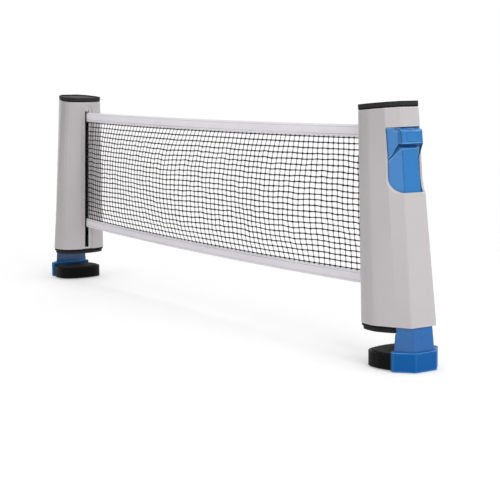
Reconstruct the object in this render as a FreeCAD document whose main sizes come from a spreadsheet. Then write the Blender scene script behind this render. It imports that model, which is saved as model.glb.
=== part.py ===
import FreeCAD
import Part
import math
import os
import Sketcher

from FreeCAD import Placement, Rotation, Vector

# Retractable table tennis net set: two equal clamp posts and the net between them.
# A post is built in its own frame: u (x) points outward from the net, v (y) along the table's
# edge, z up from the table top. The near post stands at +X, the far one is turned by 180 degrees.
SIZES = {
    # where the posts stand and how the clamp is set
    "span": 572.0,  # from slot face to slot face at the foot
    "table_thick": 17.5,  # the gap that the jaws hold at rest
    "clamp_travel": 16.0,
    # housing, foot section: a blunt nose, parallel sides, facets that run to a narrow outer face
    "foot_depth": 61.2,
    "foot_half": 30.3,
    "foot_face_half": 13.8,
    "foot_nose": 20.2,
    "foot_side_end": 30.9,
    "foot_crease": 49.0,
    "foot_crease_half": 20.45,
    "foot_corner": 18.0,
    # housing, head section, measured in the cap's tilted plane from its own nose
    "head_depth": 50.2,
    "head_half": 23.4,
    "head_face_half": 10.0,
    "head_nose": 15.4,
    "head_side_end": 23.5,
    "head_crease": 40.0,
    "head_crease_half": 18.7,
    "head_corner": 13.7,
    "head_lean": 10.3,
    "head_height": 186.0,
    "head_tilt": 4.6,
    # how many flats follow each rounding of these outlines
    "nose_chords": 12,
    "cheek_chords": 4,
    "side_chords": 2,
    "edge_chords": 2,
    "side_round": 14.0,
    "ridge_round": 1.4,
    "least_round": 0.3,
    "wall": 2.2,
    "cap_thick": 5.0,
    "skirt_deep": 3.0,
    "skirt_thick": 1.5,
    "cap_play": 0.2,
    "cap_neck": 0.8,  # shadow gap between cap and housing
    "neck_inset": 0.6,
    "rim_wide": 1.6,
    "dish_deep": 1.0,
    # base
    "plate_thick": 2.5,
    "pad_thick": 3.1,
    "plate_inset": 0.6,
    "pad_inset": 2.0,
    "table_reach": 45.6,  # from the nose to the table's edge
    "lip_high": 3.0,
    "lip_play": 0.4,
    # notch for the thumb hood, in side view
    "notch_top": 172.6,
    "notch_top_in": 31.0,
    "notch_side_in": 34.0,
    "notch_low": 118.3,
    "notch_round": 14.0,
    # slot for the net
    "slot_wide": 4.8,
    "slot_low": 8.0,
    "slot_high": 177.0,
    "border_wide": 14.0,
    "border_line": 1.2,
    "border_floor": 1.2,  # how far behind the nose line its groove's floor lies
    "border_drop": 1.0,
    # slider
    "slider_gap": 0.4,
    "column_play": 0.4,
    "socket_play": 0.1,
    "slider_deep": 12.1,
    "slider_wall": 2.2,
    "slider_end": 12.5,  # how far the column reaches into the jaw
    "slider_ease": 1.1,  # how much narrower its outer face is than the housing would let it be
    "slider_top": 172.0,
    "slider_solid": 8.0,
    "shelf_height": 100.0,
    "shelf_thick": 3.0,
    "heel_drop": 0.3,  # below the base, from where the column reaches back to the jaw's own back
    "hood_inset": 0.35,
    "hood_tip_inset": 2.0,
    "hood_play": 0.3,
    "hood_tip": 146.0,
    "hood_under": 159.4,
    "hood_brow": 170.0,
    "hood_proud": 1.75,
    "hood_shoulder": 1.05,
    "hood_slope": 2.5,
    "hood_half": 8.35,
    "hood_shoulder_half": 11.6,
    "mouth_high": 4.0,  # finger room between the hood and the panel below it
    "mouth_back": 2.0,  # how far the panel's top edge lies behind the hood's edge
    "mouth_deep": 7.0,
    # lower jaw and its shoe
    "rim_drop": 15.2,
    "jaw_bottom": 32.0,
    "jaw_face": 64.6,
    "jaw_face_half": 11.4,
    "jaw_cheek": 50.5,
    "jaw_cheek_half": 25.0,
    "jaw_back": 46.4,
    "jaw_back_half": 24.0,
    "tongue_tip": 16.0,
    "tongue_half": 17.0,
    "tongue_low": 28.0,
    "tongue_thick": 6.0,
    # shoe, its outline measured from its own nose
    "shoe_place": 8.0,
    "shoe_nose": 17.0,
    "shoe_half": 27.0,
    "shoe_corner": 15.0,
    "shoe_side_end": 25.0,
    "shoe_crease": 33.0,
    "shoe_crease_half": 25.0,
    "shoe_depth": 38.3,
    "shoe_face_half": 23.0,
    "shoe_low": 31.4,
    "jaw_pad_thick": 1.6,
    "jaw_pad_sunk": 0.6,
    "jaw_pad_inset": 3.0,
    # chassis and clamp spring
    "chassis_gap": 0.4,
    "chassis_thick": 2.0,
    "seat_height": 44.0,
    "seat_thick": 4.0,
    "seat_half": 5.0,
    "seat_play": 0.6,
    "chassis_high": 180.0,
    "coil_steps": 8,  # straight pieces in each turn of a coil
    "coil_inset": 9.6,  # from the housing's outer face to the spring's axis
    "coil_radius": 3.6,
    "coil_wire": 1.0,
    "coil_turns": 9,
    "pin_radius": 1.5,
    "pin_high": 34.0,
    "shelf_low": 176.5,
    "shelf_half": 9.0,
    "shelf_reach": 6.0,
    "shelf_board": 3.5,
    # roller and the net wound on it
    "roller_place": 19.0,
    "roller_radius": 5.0,
    "roller_bore": 3.9,
    "roller_low": 26.0,
    "roller_high": 174.0,
    "axle_radius": 1.5,
    "axle_socket": 8.0,
    "axle_foot": 1.0,
    "axle_boss_radius": 5.0,
    "bush_long": 5.0,
    "roll_radius": 14.5,
    "return_coil_radius": 2.75,
    "return_wire": 0.6,
    "return_turns": 10,
    "return_long": 60.0,
    "fit": 0.05,
    # net
    "net_top": 173.0,
    "net_high": 140.0,
    "top_sag": 1.8,
    "bottom_sag": 3.6,
    "band_high": 11.0,
    "band_thick": 1.6,
    "mesh_thick": 0.8,
    "mesh_tuck": 7.0,
    "mesh_columns": 24,
    "mesh_rows": 8,
    "cord_wide": 2.4,
    "net_play": 0.3,  # from the net's ends to the roll and to the anchor rod
    "anchor_radius": 2.6,
    "anchor_play": 0.3,
    "anchor_top": 182.0,
    # screws
    "screw_flats": 12,
    "screw_radius": 1.3,
    "screw_head": 2.4,
    "screw_head_high": 1.4,
    "screw_play": 0.15,
    "sink_deeper": 0.3,
    "screw_long": 9.0,
    "jaw_screw_long": 6.5,
    "jaw_screw_place": 26.0,
    "jaw_screw_half": 9.0,
    "boss_radius": 3.1,
    "boss_high": 12.0,
    "boss_half": 19.0,
    "boss_front": 15.0,
    "boss_rear": 36.0,
    "rib_front": 28.3,
    "rib_rear": 26.3,
    "rib_thick": 1.6,
}

document = FreeCAD.newDocument("net_set")
sheet = document.addObject("Spreadsheet::Sheet", "sizes")
for row, (word, value) in enumerate(SIZES.items(), start=1):
    sheet.set(f"A{row}", word)
    sheet.set(f"B{row}", str(value))
    sheet.setAlias(f"B{row}", word)
document.recompute()


class Sizes:
    def __init__(self, values):
        self.__dict__.update(values)


s = Sizes(SIZES)
base_thick = s.plate_thick + s.pad_thick
tilt = math.radians(s.head_tilt)
# how far anything built on the outer wall leans inward for each mm that it goes up
head_ridge_u = s.head_depth * math.cos(tilt) - s.head_lean
head_ridge_z = s.head_height + s.head_depth * math.sin(tilt)
lean = (s.foot_depth - head_ridge_u) / (head_ridge_z - base_thick)
nose_lean = s.head_lean / (s.head_height - base_thick)
table_z = s.jaw_bottom
nodes = []


def post_place(side):
    if side == "near":
        return Placement(Vector(s.span / 2, 0, table_z), Rotation())
    return Placement(Vector(-s.span / 2, 0, table_z), Rotation(Vector(0, 0, 1), 180))


def new_body(name, side):
    body = document.addObject("PartDesign::Body", name)
    body.Label = name
    body.Placement = post_place(side)
    nodes.append(body)
    return body


def keep_shape(name, shape, place):
    thing = document.addObject("Part::Feature", name)
    thing.Label = name
    thing.Shape = shape
    thing.Placement = place.multiply(shape.Placement)
    nodes.append(thing)
    return thing


def origin_plane(body, role):
    return [item for item in body.Origin.OriginFeatures if item.Role == role][0]


def draw(body, name, role, place, loops):
    """Sketch on one of the body's own planes; a loop is a list of points, with arcs as 3 points."""
    sketch = body.newObject("Sketcher::SketchObject", name)
    sketch.AttachmentSupport = (origin_plane(body, role), [""])
    sketch.MapMode = "FlatFace"
    sketch.AttachmentOffset = place
    for loop in loops:
        first = sketch.GeometryCount
        for piece in loop:
            if len(piece) == 2:
                sketch.addGeometry(Part.LineSegment(*[Vector(x, y, 0) for x, y in piece]), False)
            elif len(piece) == 3 and isinstance(piece[0], tuple):
                sketch.addGeometry(Part.Arc(*[Vector(x, y, 0) for x, y in piece]), False)
            else:
                x, y, radius = piece
                sketch.addGeometry(Part.Circle(Vector(x, y, 0), Vector(0, 0, 1), radius), False)
        last = sketch.GeometryCount
        if last - first < 2:
            continue
        for index in range(first, last):
            after = index + 1 if index + 1 < last else first
            start, end = ends(sketch, index)
            next_start, next_end = ends(sketch, after)
            mine = 2 if min_gap(end, next_start, next_end) < min_gap(start, next_start, next_end) else 1
            point = end if mine == 2 else start
            other = 1 if point.distanceToPoint(next_start) < point.distanceToPoint(next_end) else 2
            sketch.addConstraint(Sketcher.Constraint("Coincident", index, mine, after, other))
    return sketch


def ends(sketch, index):
    return sketch.getPoint(index, 1), sketch.getPoint(index, 2)


def min_gap(point, first, second):
    return min(point.distanceToPoint(first), point.distanceToPoint(second))


def closed(points):
    return [(a, b) for a, b in zip(points, points[1:] + points[:1])]


def rectangle(low_x, low_y, high_x, high_y):
    return closed([(low_x, low_y), (high_x, low_y), (high_x, high_y), (low_x, high_y)])


def pad(body, name, sketch, length, down=False, both=False):
    feature = body.newObject("PartDesign::Pad", name)
    feature.Profile = sketch
    finish(feature, length, down, both)
    return feature


def pocket(body, name, sketch, length, down=False, both=False):
    feature = body.newObject("PartDesign::Pocket", name)
    feature.Profile = sketch
    finish(feature, length, down, both)
    return feature


def finish(feature, length, down, both):
    if isinstance(length, str):
        feature.setExpression("Length", length)
    else:
        feature.Length = length
    feature.Reversed = down
    if both:
        feature.Midplane = True


def loft(body, name, kind, sketches):
    feature = body.newObject(kind, name)
    feature.Profile = sketches[0]
    feature.Sections = sketches[1:]
    feature.Ruled = True
    return feature


def at_height(z):
    return Placement(Vector(0, 0, z), Rotation())


def head_plane(rise=0.0):
    """The cap's plane, moved by rise along its own normal."""
    turn = Rotation(Vector(0, 1, 0), -s.head_tilt)
    return Placement(Vector(-s.head_lean, 0, s.head_height) + turn.multVec(Vector(0, 0, rise)), turn)


def meet(first, second):
    """Where two lines cross, each given as point and direction."""
    (ax, ay), (adx, ady) = first
    (bx, by), (bdx, bdy) = second
    cross = adx * bdy - ady * bdx
    along = ((bx - ax) * bdy - (by - ay) * bdx) / cross
    return (ax + along * adx, ay + along * ady)


def inset_line(start, end, inset):
    """The line from start to end, moved to its right by inset."""
    dx, dy = end[0] - start[0], end[1] - start[1]
    long = math.hypot(dx, dy)
    return ((start[0] + inset * dy / long, start[1] - inset * dx / long), (dx / long, dy / long))


def flank(points, inset):
    """Side, crease and ridge points of one flank, all moved inward by inset."""
    side_start, side_end, crease, ridge = points
    lines = [
        inset_line(side_start, side_end, inset),
        inset_line(side_end, crease, inset),
        inset_line(crease, ridge, inset),
        ((ridge[0] - inset, 0), (0, 1)),
    ]
    return [meet(a, b) for a, b in zip(lines, lines[1:])]


def mirror(point):
    return (point[0], -point[1])


def rounded(before, corner, after, radius):
    """Arc that rounds the corner between two neighbours, as three points."""
    ways = []
    for other in (before, after):
        dx, dy = other[0] - corner[0], other[1] - corner[1]
        long = math.hypot(dx, dy)
        ways.append((dx / long, dy / long))
    (ax, ay), (bx, by) = ways
    half_angle = math.acos(ax * bx + ay * by) / 2
    reach = radius / math.tan(half_angle)
    start = (corner[0] + ax * reach, corner[1] + ay * reach)
    end = (corner[0] + bx * reach, corner[1] + by * reach)
    inward = math.hypot(ax + bx, ay + by)
    depth = radius / math.sin(half_angle) - radius
    middle = (corner[0] + (ax + bx) / inward * depth, corner[1] + (ay + by) / inward * depth)
    return (start, middle, end)


def chords(arc, count):
    """The arc through three points as count equal chords."""
    start, middle, end = (Vector(x, y, 0) for x, y in arc)
    circle = Part.Arc(start, middle, end)
    first, last = circle.parameter(start), circle.parameter(end)
    if abs(last - first) < 1e-9:
        last = circle.LastParameter
    spots = [circle.value(first + (last - first) * step / count) for step in range(count + 1)]
    spots[0], spots[-1] = start, end
    return [((a.x, a.y), (b.x, b.y)) for a, b in zip(spots, spots[1:])]


def outline(prefix, inset):
    """Closed outline of the housing at its foot or head, or of the shoe, moved inward by inset."""
    size = {key[5:]: value for key, value in SIZES.items() if key.startswith(prefix + "_")}
    nose, half, corner = size["nose"], size["half"], size["corner"]
    big = (nose**2 + (half - corner) ** 2 - corner**2) / (2 * (nose - corner))
    reach = math.hypot(nose - big, half - corner)
    way = ((nose - big) / reach, (half - corner) / reach)
    join = (big + (big - inset) * way[0], (big - inset) * way[1])
    turn = (math.atan2(way[1], way[0]) + math.pi / 2) / 2
    cheek = (nose + (corner - inset) * math.cos(turn), half - corner + (corner - inset) * math.sin(turn))
    side_start = (nose, half - inset)
    side_end, crease, ridge = flank(
        [(nose, half), (size["side_end"], half), (size["crease"], size["crease_half"]),
         (size["depth"], size["face_half"])],
        inset,
    )
    side = rounded(side_start, side_end, crease, max(s.side_round - inset, s.least_round))
    edge = rounded(crease, ridge, mirror(ridge), max(s.ridge_round - inset, s.least_round))
    one_flank = (
        chords((join, cheek, side_start), s.cheek_chords)
        + [(side_start, side[0])]
        + chords(side, s.side_chords)
        + [(side[2], crease), (crease, edge[0])]
        + chords(edge, s.edge_chords)
    )
    other_flank = [tuple(mirror(point) for point in piece[::-1]) for piece in one_flank[::-1]]
    nose_arc = chords((mirror(join), (inset, 0), join), s.nose_chords)
    return nose_arc + one_flank + [(edge[2], mirror(edge[2]))] + other_flank


def flank_at(z, inset):
    """Side end, crease and ridge of the housing's outside at height z, moved inward by inset."""
    points = []
    for word in ("nose", "side_end", "crease", "depth"):
        half_word = {"nose": "half", "side_end": "half", "crease": "crease_half", "depth": "face_half"}
        low = (SIZES["foot_" + word], SIZES["foot_" + half_word[word]], base_thick)
        along = SIZES["head_" + word]
        high = (
            along * math.cos(tilt) - s.head_lean,
            SIZES["head_" + half_word[word]],
            s.head_height + along * math.sin(tilt),
        )
        part = (z - low[2]) / (high[2] - low[2])
        points.append((low[0] + part * (high[0] - low[0]), low[1] + part * (high[1] - low[1])))
    return flank(points, inset)


def channel(z, inset, back, ease=0.0):
    """Section of the outer part of the post: its flanks and face moved inward, cut off at u = back."""
    side_end, crease, ridge = flank_at(z, inset)
    ridge = (ridge[0], ridge[1] - ease)
    low, high = (side_end, crease) if back < crease[0] else (crease, ridge)
    corner = meet(((back, 0), (0, 1)), (low, (high[0] - low[0], high[1] - low[1])))
    half = [ridge, crease, corner] if back < crease[0] else [ridge, corner]
    return closed(half + [mirror(point) for point in half[::-1]])


def half_at(z, inset, u):
    """Half width of the housing's outline, moved inward, at height z and depth u."""
    side_end, crease, ridge = flank_at(z, inset)
    low, high = (side_end, crease) if u < crease[0] else (crease, ridge)
    if u < side_end[0]:
        return side_end[1]
    return low[1] + (u - low[0]) / (high[0] - low[0]) * (high[1] - low[1])


def ridge_u(z):
    return s.foot_depth - lean * (z - base_thick)


def slider_back(z):
    return ridge_u(z) - s.wall - s.slider_gap - s.slider_deep


def notch_in(z):
    """The notch's inner edge at height z."""
    low = s.notch_low + s.notch_round
    part = (z - low) / (s.notch_top - low)
    return s.notch_side_in + part * (s.notch_top_in - s.notch_side_in)


def hood_in(z):
    """How far the hood's wings lie inside the housing's outer surface at height z."""
    part = (z - s.hood_tip) / (s.notch_top - s.hood_tip)
    return s.hood_tip_inset + part * (s.hood_inset - s.hood_tip_inset)


def nose_u(z):
    return -nose_lean * (z - base_thick)


def coil(radius, wire, turns, long):
    """Open coil round Z, from 0 to long, as one tube of square wire."""
    count = s.coil_steps * turns
    rise = (long - wire) / count
    line, rings = [], []
    for number in range(count + 1):
        angle = 2 * math.pi * number / s.coil_steps
        out = Vector(math.cos(angle), math.sin(angle), 0)
        line.append(out * radius + Vector(0, 0, wire / 2 + rise * number))
        wide, high = out * (wire / 2), Vector(0, 0, wire / 2)
        rings.append([line[-1] - wide - high, line[-1] + wide - high, line[-1] + wide + high, line[-1] - wide + high])
    faces = [triangle(*rings[0][:3]), triangle(rings[0][2], rings[0][3], rings[0][0])]
    faces += [triangle(*rings[-1][:3]), triangle(rings[-1][2], rings[-1][3], rings[-1][0])]
    for low, high in zip(rings, rings[1:]):
        for corner in range(4):
            after = (corner + 1) % 4
            faces.append(triangle(low[corner], low[after], high[after]))
            faces.append(triangle(low[corner], high[after], high[corner]))
    tube = Part.Shell(faces)
    tube.sewShape()
    tube = Part.Solid(tube)
    if tube.Volume < 0:
        tube.reverse()
    near = s.coil_steps // 2
    gap = min((b - a).Length for i, a in enumerate(line) for b in line[i + near:]) - wire
    print("coil gap", round(gap, 3))
    return tube


def triangle(first, second, third):
    return Part.Face(Part.makePolygon([first, second, third, first]))


def leaning(slope, u, z):
    """Placement of something that is drawn along Z but leans inward by slope, with its foot at (u, z)."""
    return Placement(Vector(u, 0, z), Rotation(Vector(0, 0, 1), Vector(-slope, 0, 1)))


def set_in(shape, place):
    moved = shape.copy()
    moved.transformShape(place.toMatrix())
    return moved


def screws(spots, z, long):
    """Screws that point up, with their heads' upper faces at height z."""
    solids = []
    for u, v in spots:
        shank = prism(u, v, s.screw_radius, z - s.screw_head_high / 2, long)
        head = prism(u, v, s.screw_head, z - s.screw_head_high, s.screw_head_high)
        solids.append(shank.fuse(head).removeSplitter())
    return Part.makeCompound(solids)


def ring_of(u, v, radius):
    """Corners of an even polygon whose flats lie radius away from (u, v)."""
    turn = 2 * math.pi / s.screw_flats
    reach = radius / math.cos(turn / 2)
    return [(u + reach * math.cos(turn * (step + 0.5)), v + reach * math.sin(turn * (step + 0.5)))
            for step in range(int(s.screw_flats))]


def prism(u, v, radius, z, long):
    ring = [Vector(x, y, z) for x, y in ring_of(u, v, radius)]
    return Part.Face(Part.makePolygon(ring + ring[:1])).extrude(Vector(0, 0, long))


def both_sides(spots):
    return spots + [mirror(spot) for spot in spots]


boss_spots = both_sides([(s.boss_front, s.boss_half), (s.boss_rear, s.boss_half)])
jaw_screw_spots = both_sides([(s.jaw_screw_place, s.jaw_screw_half)])


def circles(spots, radius):
    return [[(u, v, radius)] for u, v in spots]


def polygons(spots, radius):
    return [closed(ring_of(u, v, radius)) for u, v in spots]


def arch(wide):
    """Closed outline round the net's slot, with a round top, wide on either side of it."""
    foot, high = s.slot_low - s.border_wide / 4, s.slot_high - s.border_drop
    return [
        ((-wide, foot), (wide, foot)),
        ((wide, foot), (wide, high)),
        ((wide, high), (0, high + wide), (-wide, high)),
        ((-wide, high), (-wide, foot)),
    ]


def on_nose(deep):
    """A plane that leans with the nose line, deep behind it."""
    turn = Rotation(Vector(1, 0, 0), -math.degrees(math.atan(nose_lean)))
    return Placement(Vector(0, 0, deep + nose_lean * base_thick), turn)


def build_housing(side):
    body = new_body(f"{side}_housing", side)
    outer = [
        draw(body, "outer_foot", "XY_Plane", at_height(base_thick), [outline("foot", 0)]),
        draw(body, "outer_head", "XY_Plane", head_plane(), [outline("head", 0)]),
    ]
    loft(body, "outside", "PartDesign::AdditiveLoft", outer)
    inner = [
        draw(body, "inner_foot", "XY_Plane", at_height(base_thick), [outline("foot", s.wall)]),
        draw(body, "inner_head", "XY_Plane", head_plane(), [outline("head", s.wall)]),
    ]
    loft(body, "inside", "PartDesign::SubtractiveLoft", inner)
    corner_u = s.notch_side_in + s.notch_round
    bend_z = s.notch_low + s.notch_round
    bend = s.notch_round * math.sqrt(0.5)
    far_out = s.foot_depth + 20
    top_far = s.notch_top + math.tan(tilt) * (far_out - s.notch_top_in)
    notch = [
        ((s.notch_top_in, s.notch_top), (s.notch_side_in, bend_z)),
        ((s.notch_side_in, bend_z), (corner_u - bend, bend_z - bend), (corner_u, s.notch_low)),
        ((corner_u, s.notch_low), (far_out, s.notch_low)),
        ((far_out, s.notch_low), (far_out, top_far)),
        ((far_out, top_far), (s.notch_top_in, s.notch_top)),
    ]
    room = s.hood_tip - bend_z + math.sqrt(s.hood_inset * (2 * s.notch_round - s.hood_inset))
    if s.clamp_travel > room:
        raise RuntimeError("the hood's wings would meet the notch's round before the clamp is fully open")
    cut = draw(body, "notch_outline", "XZ_Plane", Placement(), [notch])
    pocket(body, "notch", cut, 4 * s.foot_half, both=True)
    borders = [arch(s.border_wide / 2), arch(s.border_wide / 2 - s.border_line)]
    groove = draw(body, "border_outline", "YZ_Plane", on_nose(s.border_floor), borders)
    pocket(body, "border", groove, 10 * s.wall)
    half = s.slot_wide / 2
    slot = closed([(-half, s.slot_low), (half, s.slot_low), (half, s.slot_high), (-half, s.slot_high)])
    hole = draw(body, "slot_outline", "YZ_Plane", Placement(), [slot])
    pocket(body, "slot", hole, 2 * s.foot_nose, both=True)
    ribs = []
    for u, reach in ((s.boss_front, s.rib_front), (s.boss_rear, s.rib_rear)):
        ribs.append(rectangle(u - s.rib_thick / 2, s.boss_half, u + s.rib_thick / 2, reach))
        ribs.append(rectangle(u - s.rib_thick / 2, -reach, u + s.rib_thick / 2, -s.boss_half))
    rib_foot = s.lip_high + s.cap_play
    rib = draw(body, "ribs_outline", "XY_Plane", at_height(base_thick + rib_foot), ribs)
    pad(body, "ribs", rib, s.boss_high - rib_foot)
    boss = draw(body, "bosses_outline", "XY_Plane", at_height(base_thick), polygons(boss_spots, s.boss_radius))
    pad(body, "bosses", boss, "sizes.boss_high")
    holes = draw(body, "boss_holes_outline", "XY_Plane", at_height(base_thick),
                 polygons(boss_spots, s.screw_radius + s.fit))
    pocket(body, "boss_holes", holes, "sizes.boss_high - 2", down=True)


def build_cap(side):
    body = new_body(f"{side}_top_cap", side)
    neck = draw(body, "neck_outline", "XY_Plane", head_plane(), [outline("head", s.neck_inset)])
    pad(body, "neck", neck, "sizes.cap_neck")
    lid = draw(body, "lid_outline", "XY_Plane", head_plane(s.cap_neck), [outline("head", 0)])
    pad(body, "lid", lid, "sizes.cap_thick - sizes.cap_neck")
    dish = draw(body, "dish_outline", "XY_Plane", head_plane(s.cap_thick), [outline("head", s.rim_wide)])
    pocket(body, "dish", dish, "sizes.dish_deep")
    rim = [outline("head", s.wall + s.cap_play), outline("head", s.wall + s.cap_play + s.skirt_thick)]
    skirt = draw(body, "skirt_outline", "XY_Plane", head_plane(), rim)
    pad(body, "skirt", skirt, "sizes.skirt_deep", down=True)


def build_base(side):
    body = new_body(f"{side}_base_plate", side)
    plate = draw(body, "plate_outline", "XY_Plane", at_height(s.pad_thick), [outline("foot", s.plate_inset)])
    pad(body, "plate", plate, "sizes.plate_thick")
    inset = s.wall + s.lip_play
    rim = [outline("foot", inset), outline("foot", inset + s.skirt_thick)]
    lip = draw(body, "lip_outline", "XY_Plane", at_height(base_thick), rim)
    pad(body, "lip", lip, "sizes.lip_high")
    if side == "near":
        boss = draw(body, "axle_boss_outline", "XY_Plane", at_height(base_thick),
                    circles([(s.roller_place, 0)], s.axle_boss_radius))
        pad(body, "axle_boss", boss, "sizes.axle_socket")
        bore = draw(body, "axle_bore_outline", "XY_Plane", roller_place(base_thick + s.axle_foot - s.fit),
                    circles([(0, 0)], s.axle_radius + s.fit))
        pocket(body, "axle_bore", bore, 2 * s.axle_socket, down=True)
    lip_top = base_thick + s.lip_high
    opening_back = slider_back(lip_top) - s.column_play
    notch = draw(body, "column_outline", "XY_Plane", at_height(lip_top + 1),
                 [rectangle(opening_back, -s.foot_half, s.foot_depth + 1, s.foot_half)])
    pocket(body, "column_opening", notch, 2 * base_thick + s.lip_high)
    holes = draw(body, "screw_holes_outline", "XY_Plane", at_height(base_thick + 1),
                 polygons(boss_spots, s.screw_radius + s.screw_play))
    pocket(body, "screw_holes", holes, base_thick)
    sinks = draw(body, "sinks_outline", "XY_Plane", at_height(s.pad_thick),
                 polygons(boss_spots, s.screw_head + s.screw_play))
    pocket(body, "sinks", sinks, "sizes.screw_head_high", down=True)

    body = new_body(f"{side}_base_pad", side)
    face = draw(body, "pad_outline", "XY_Plane", at_height(0), [outline("foot", s.pad_inset)])
    pad(body, "pad", face, "sizes.pad_thick")
    beyond = draw(body, "table_edge", "XY_Plane", at_height(s.pad_thick + 1),
                  [rectangle(s.table_reach, -s.foot_half, s.foot_depth + 1, s.foot_half)])
    pocket(body, "edge_cut", beyond, 2 * s.pad_thick)

    screw_set = screws(boss_spots, s.pad_thick + s.screw_head_high, s.screw_long)
    keep_shape(f"{side}_base_screws", screw_set, post_place(side))


def build_slider(side):
    body = new_body(f"{side}_clamp_slider", side)
    skin = [
        draw(body, f"hood_{word}", "XY_Plane", at_height(z), [channel(z, hood_in(z), notch_in(z) + s.hood_inset)])
        for word, z in (("low", s.hood_tip - 2), ("high", s.notch_top + 6))
    ]
    loft(body, "hood_skin", "PartDesign::AdditiveLoft", skin)
    far_out = s.foot_depth
    edge = [
        (notch_in(s.hood_tip) - 5, s.hood_tip - 5 * math.tan(math.radians(50))),
        (notch_in(s.hood_tip), s.hood_tip),
        (ridge_u(s.hood_under) - hood_in(s.hood_under), s.hood_under),
        (far_out, s.hood_under),
    ]
    below = [(far_out, s.hood_tip - 20), (edge[0][0], s.hood_tip - 20)]
    under = draw(body, "wing_edge", "XZ_Plane", Placement(), [closed(edge + below)])
    pocket(body, "under_hood", under, 4 * s.foot_half, both=True)
    rise = math.tan(tilt)
    top_u = ridge_u(s.notch_top) - s.hood_slope
    top_z = s.notch_top - s.hood_play + rise * (top_u - s.notch_top_in)
    brow_u = ridge_u(s.hood_brow) + s.hood_proud
    fall = (top_z - s.hood_brow) / (brow_u - top_u)

    def block(z):
        face = ridge_u(z)
        half = [(face + s.hood_proud, s.hood_half), (face + s.hood_shoulder, s.hood_shoulder_half),
                (face - s.wall - s.slider_gap - s.slider_wall, s.hood_shoulder_half)]
        return closed(half + [mirror(point) for point in half[::-1]])

    rings = [draw(body, f"block_{word}", "XY_Plane", at_height(z), [block(z)])
             for word, z in (("under", s.hood_under), ("top", s.notch_top))]
    loft(body, "block", "PartDesign::AdditiveLoft", rings)
    bottom = -s.rim_drop - s.slider_end
    inset = s.wall + s.slider_gap
    bar = [
        draw(body, f"bar_{word}", "XY_Plane", at_height(z), [channel(z, inset, slider_back(z), s.slider_ease)])
        for word, z in (("low", bottom), ("high", s.slider_top))
    ]
    loft(body, "bar", "PartDesign::AdditiveLoft", bar)
    heel = [
        draw(body, f"heel_{word}", "XY_Plane", at_height(z), [channel(z, inset, s.jaw_back, s.slider_ease)])
        for word, z in (("low", s.fit - s.rim_drop), ("high", -s.heel_drop))
    ]
    loft(body, "heel", "PartDesign::AdditiveLoft", heel)
    lip = [(u - s.mouth_back, z - s.mouth_high) for u, z in edge[::-1]]
    mouth = draw(body, "mouth_outline", "XZ_Plane", Placement(), [closed(edge + lip)])
    pocket(body, "mouth", mouth, 4 * s.foot_half, both=True)
    core_low = s.hood_tip - s.mouth_high - 2 * s.mouth_deep
    core = [
        draw(body, f"core_{word}", "XY_Plane", at_height(z), [channel(z, inset + s.mouth_deep, slider_back(z))])
        for word, z in (("low", core_low), ("high", s.slider_top))
    ]
    loft(body, "core", "PartDesign::AdditiveLoft", core)
    cover = draw(body, "hood_top_edge", "XZ_Plane", Placement(), [closed([
        (top_u - 40, top_z - 40 * rise),
        (top_u, top_z),
        (brow_u + 20, s.hood_brow - 20 * fall),
        (brow_u + 20, s.notch_top + 30),
        (top_u - 40, s.notch_top + 30),
    ])])
    pocket(body, "above_hood", cover, 4 * s.foot_half, both=True)
    inset += s.slider_wall
    for word, start, end in (
        ("lower", s.slider_solid, s.shelf_height),
        ("upper", s.shelf_height + s.shelf_thick, core_low),
    ):
        hollow = [
            draw(body, f"{word}_{end_word}", "XY_Plane", at_height(z),
                 [channel(z, inset, slider_back(z) - 1, s.slider_ease / 2)])
            for end_word, z in (("low", start), ("high", end))
        ]
        loft(body, f"{word}_hollow", "PartDesign::SubtractiveLoft", hollow)


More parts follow.
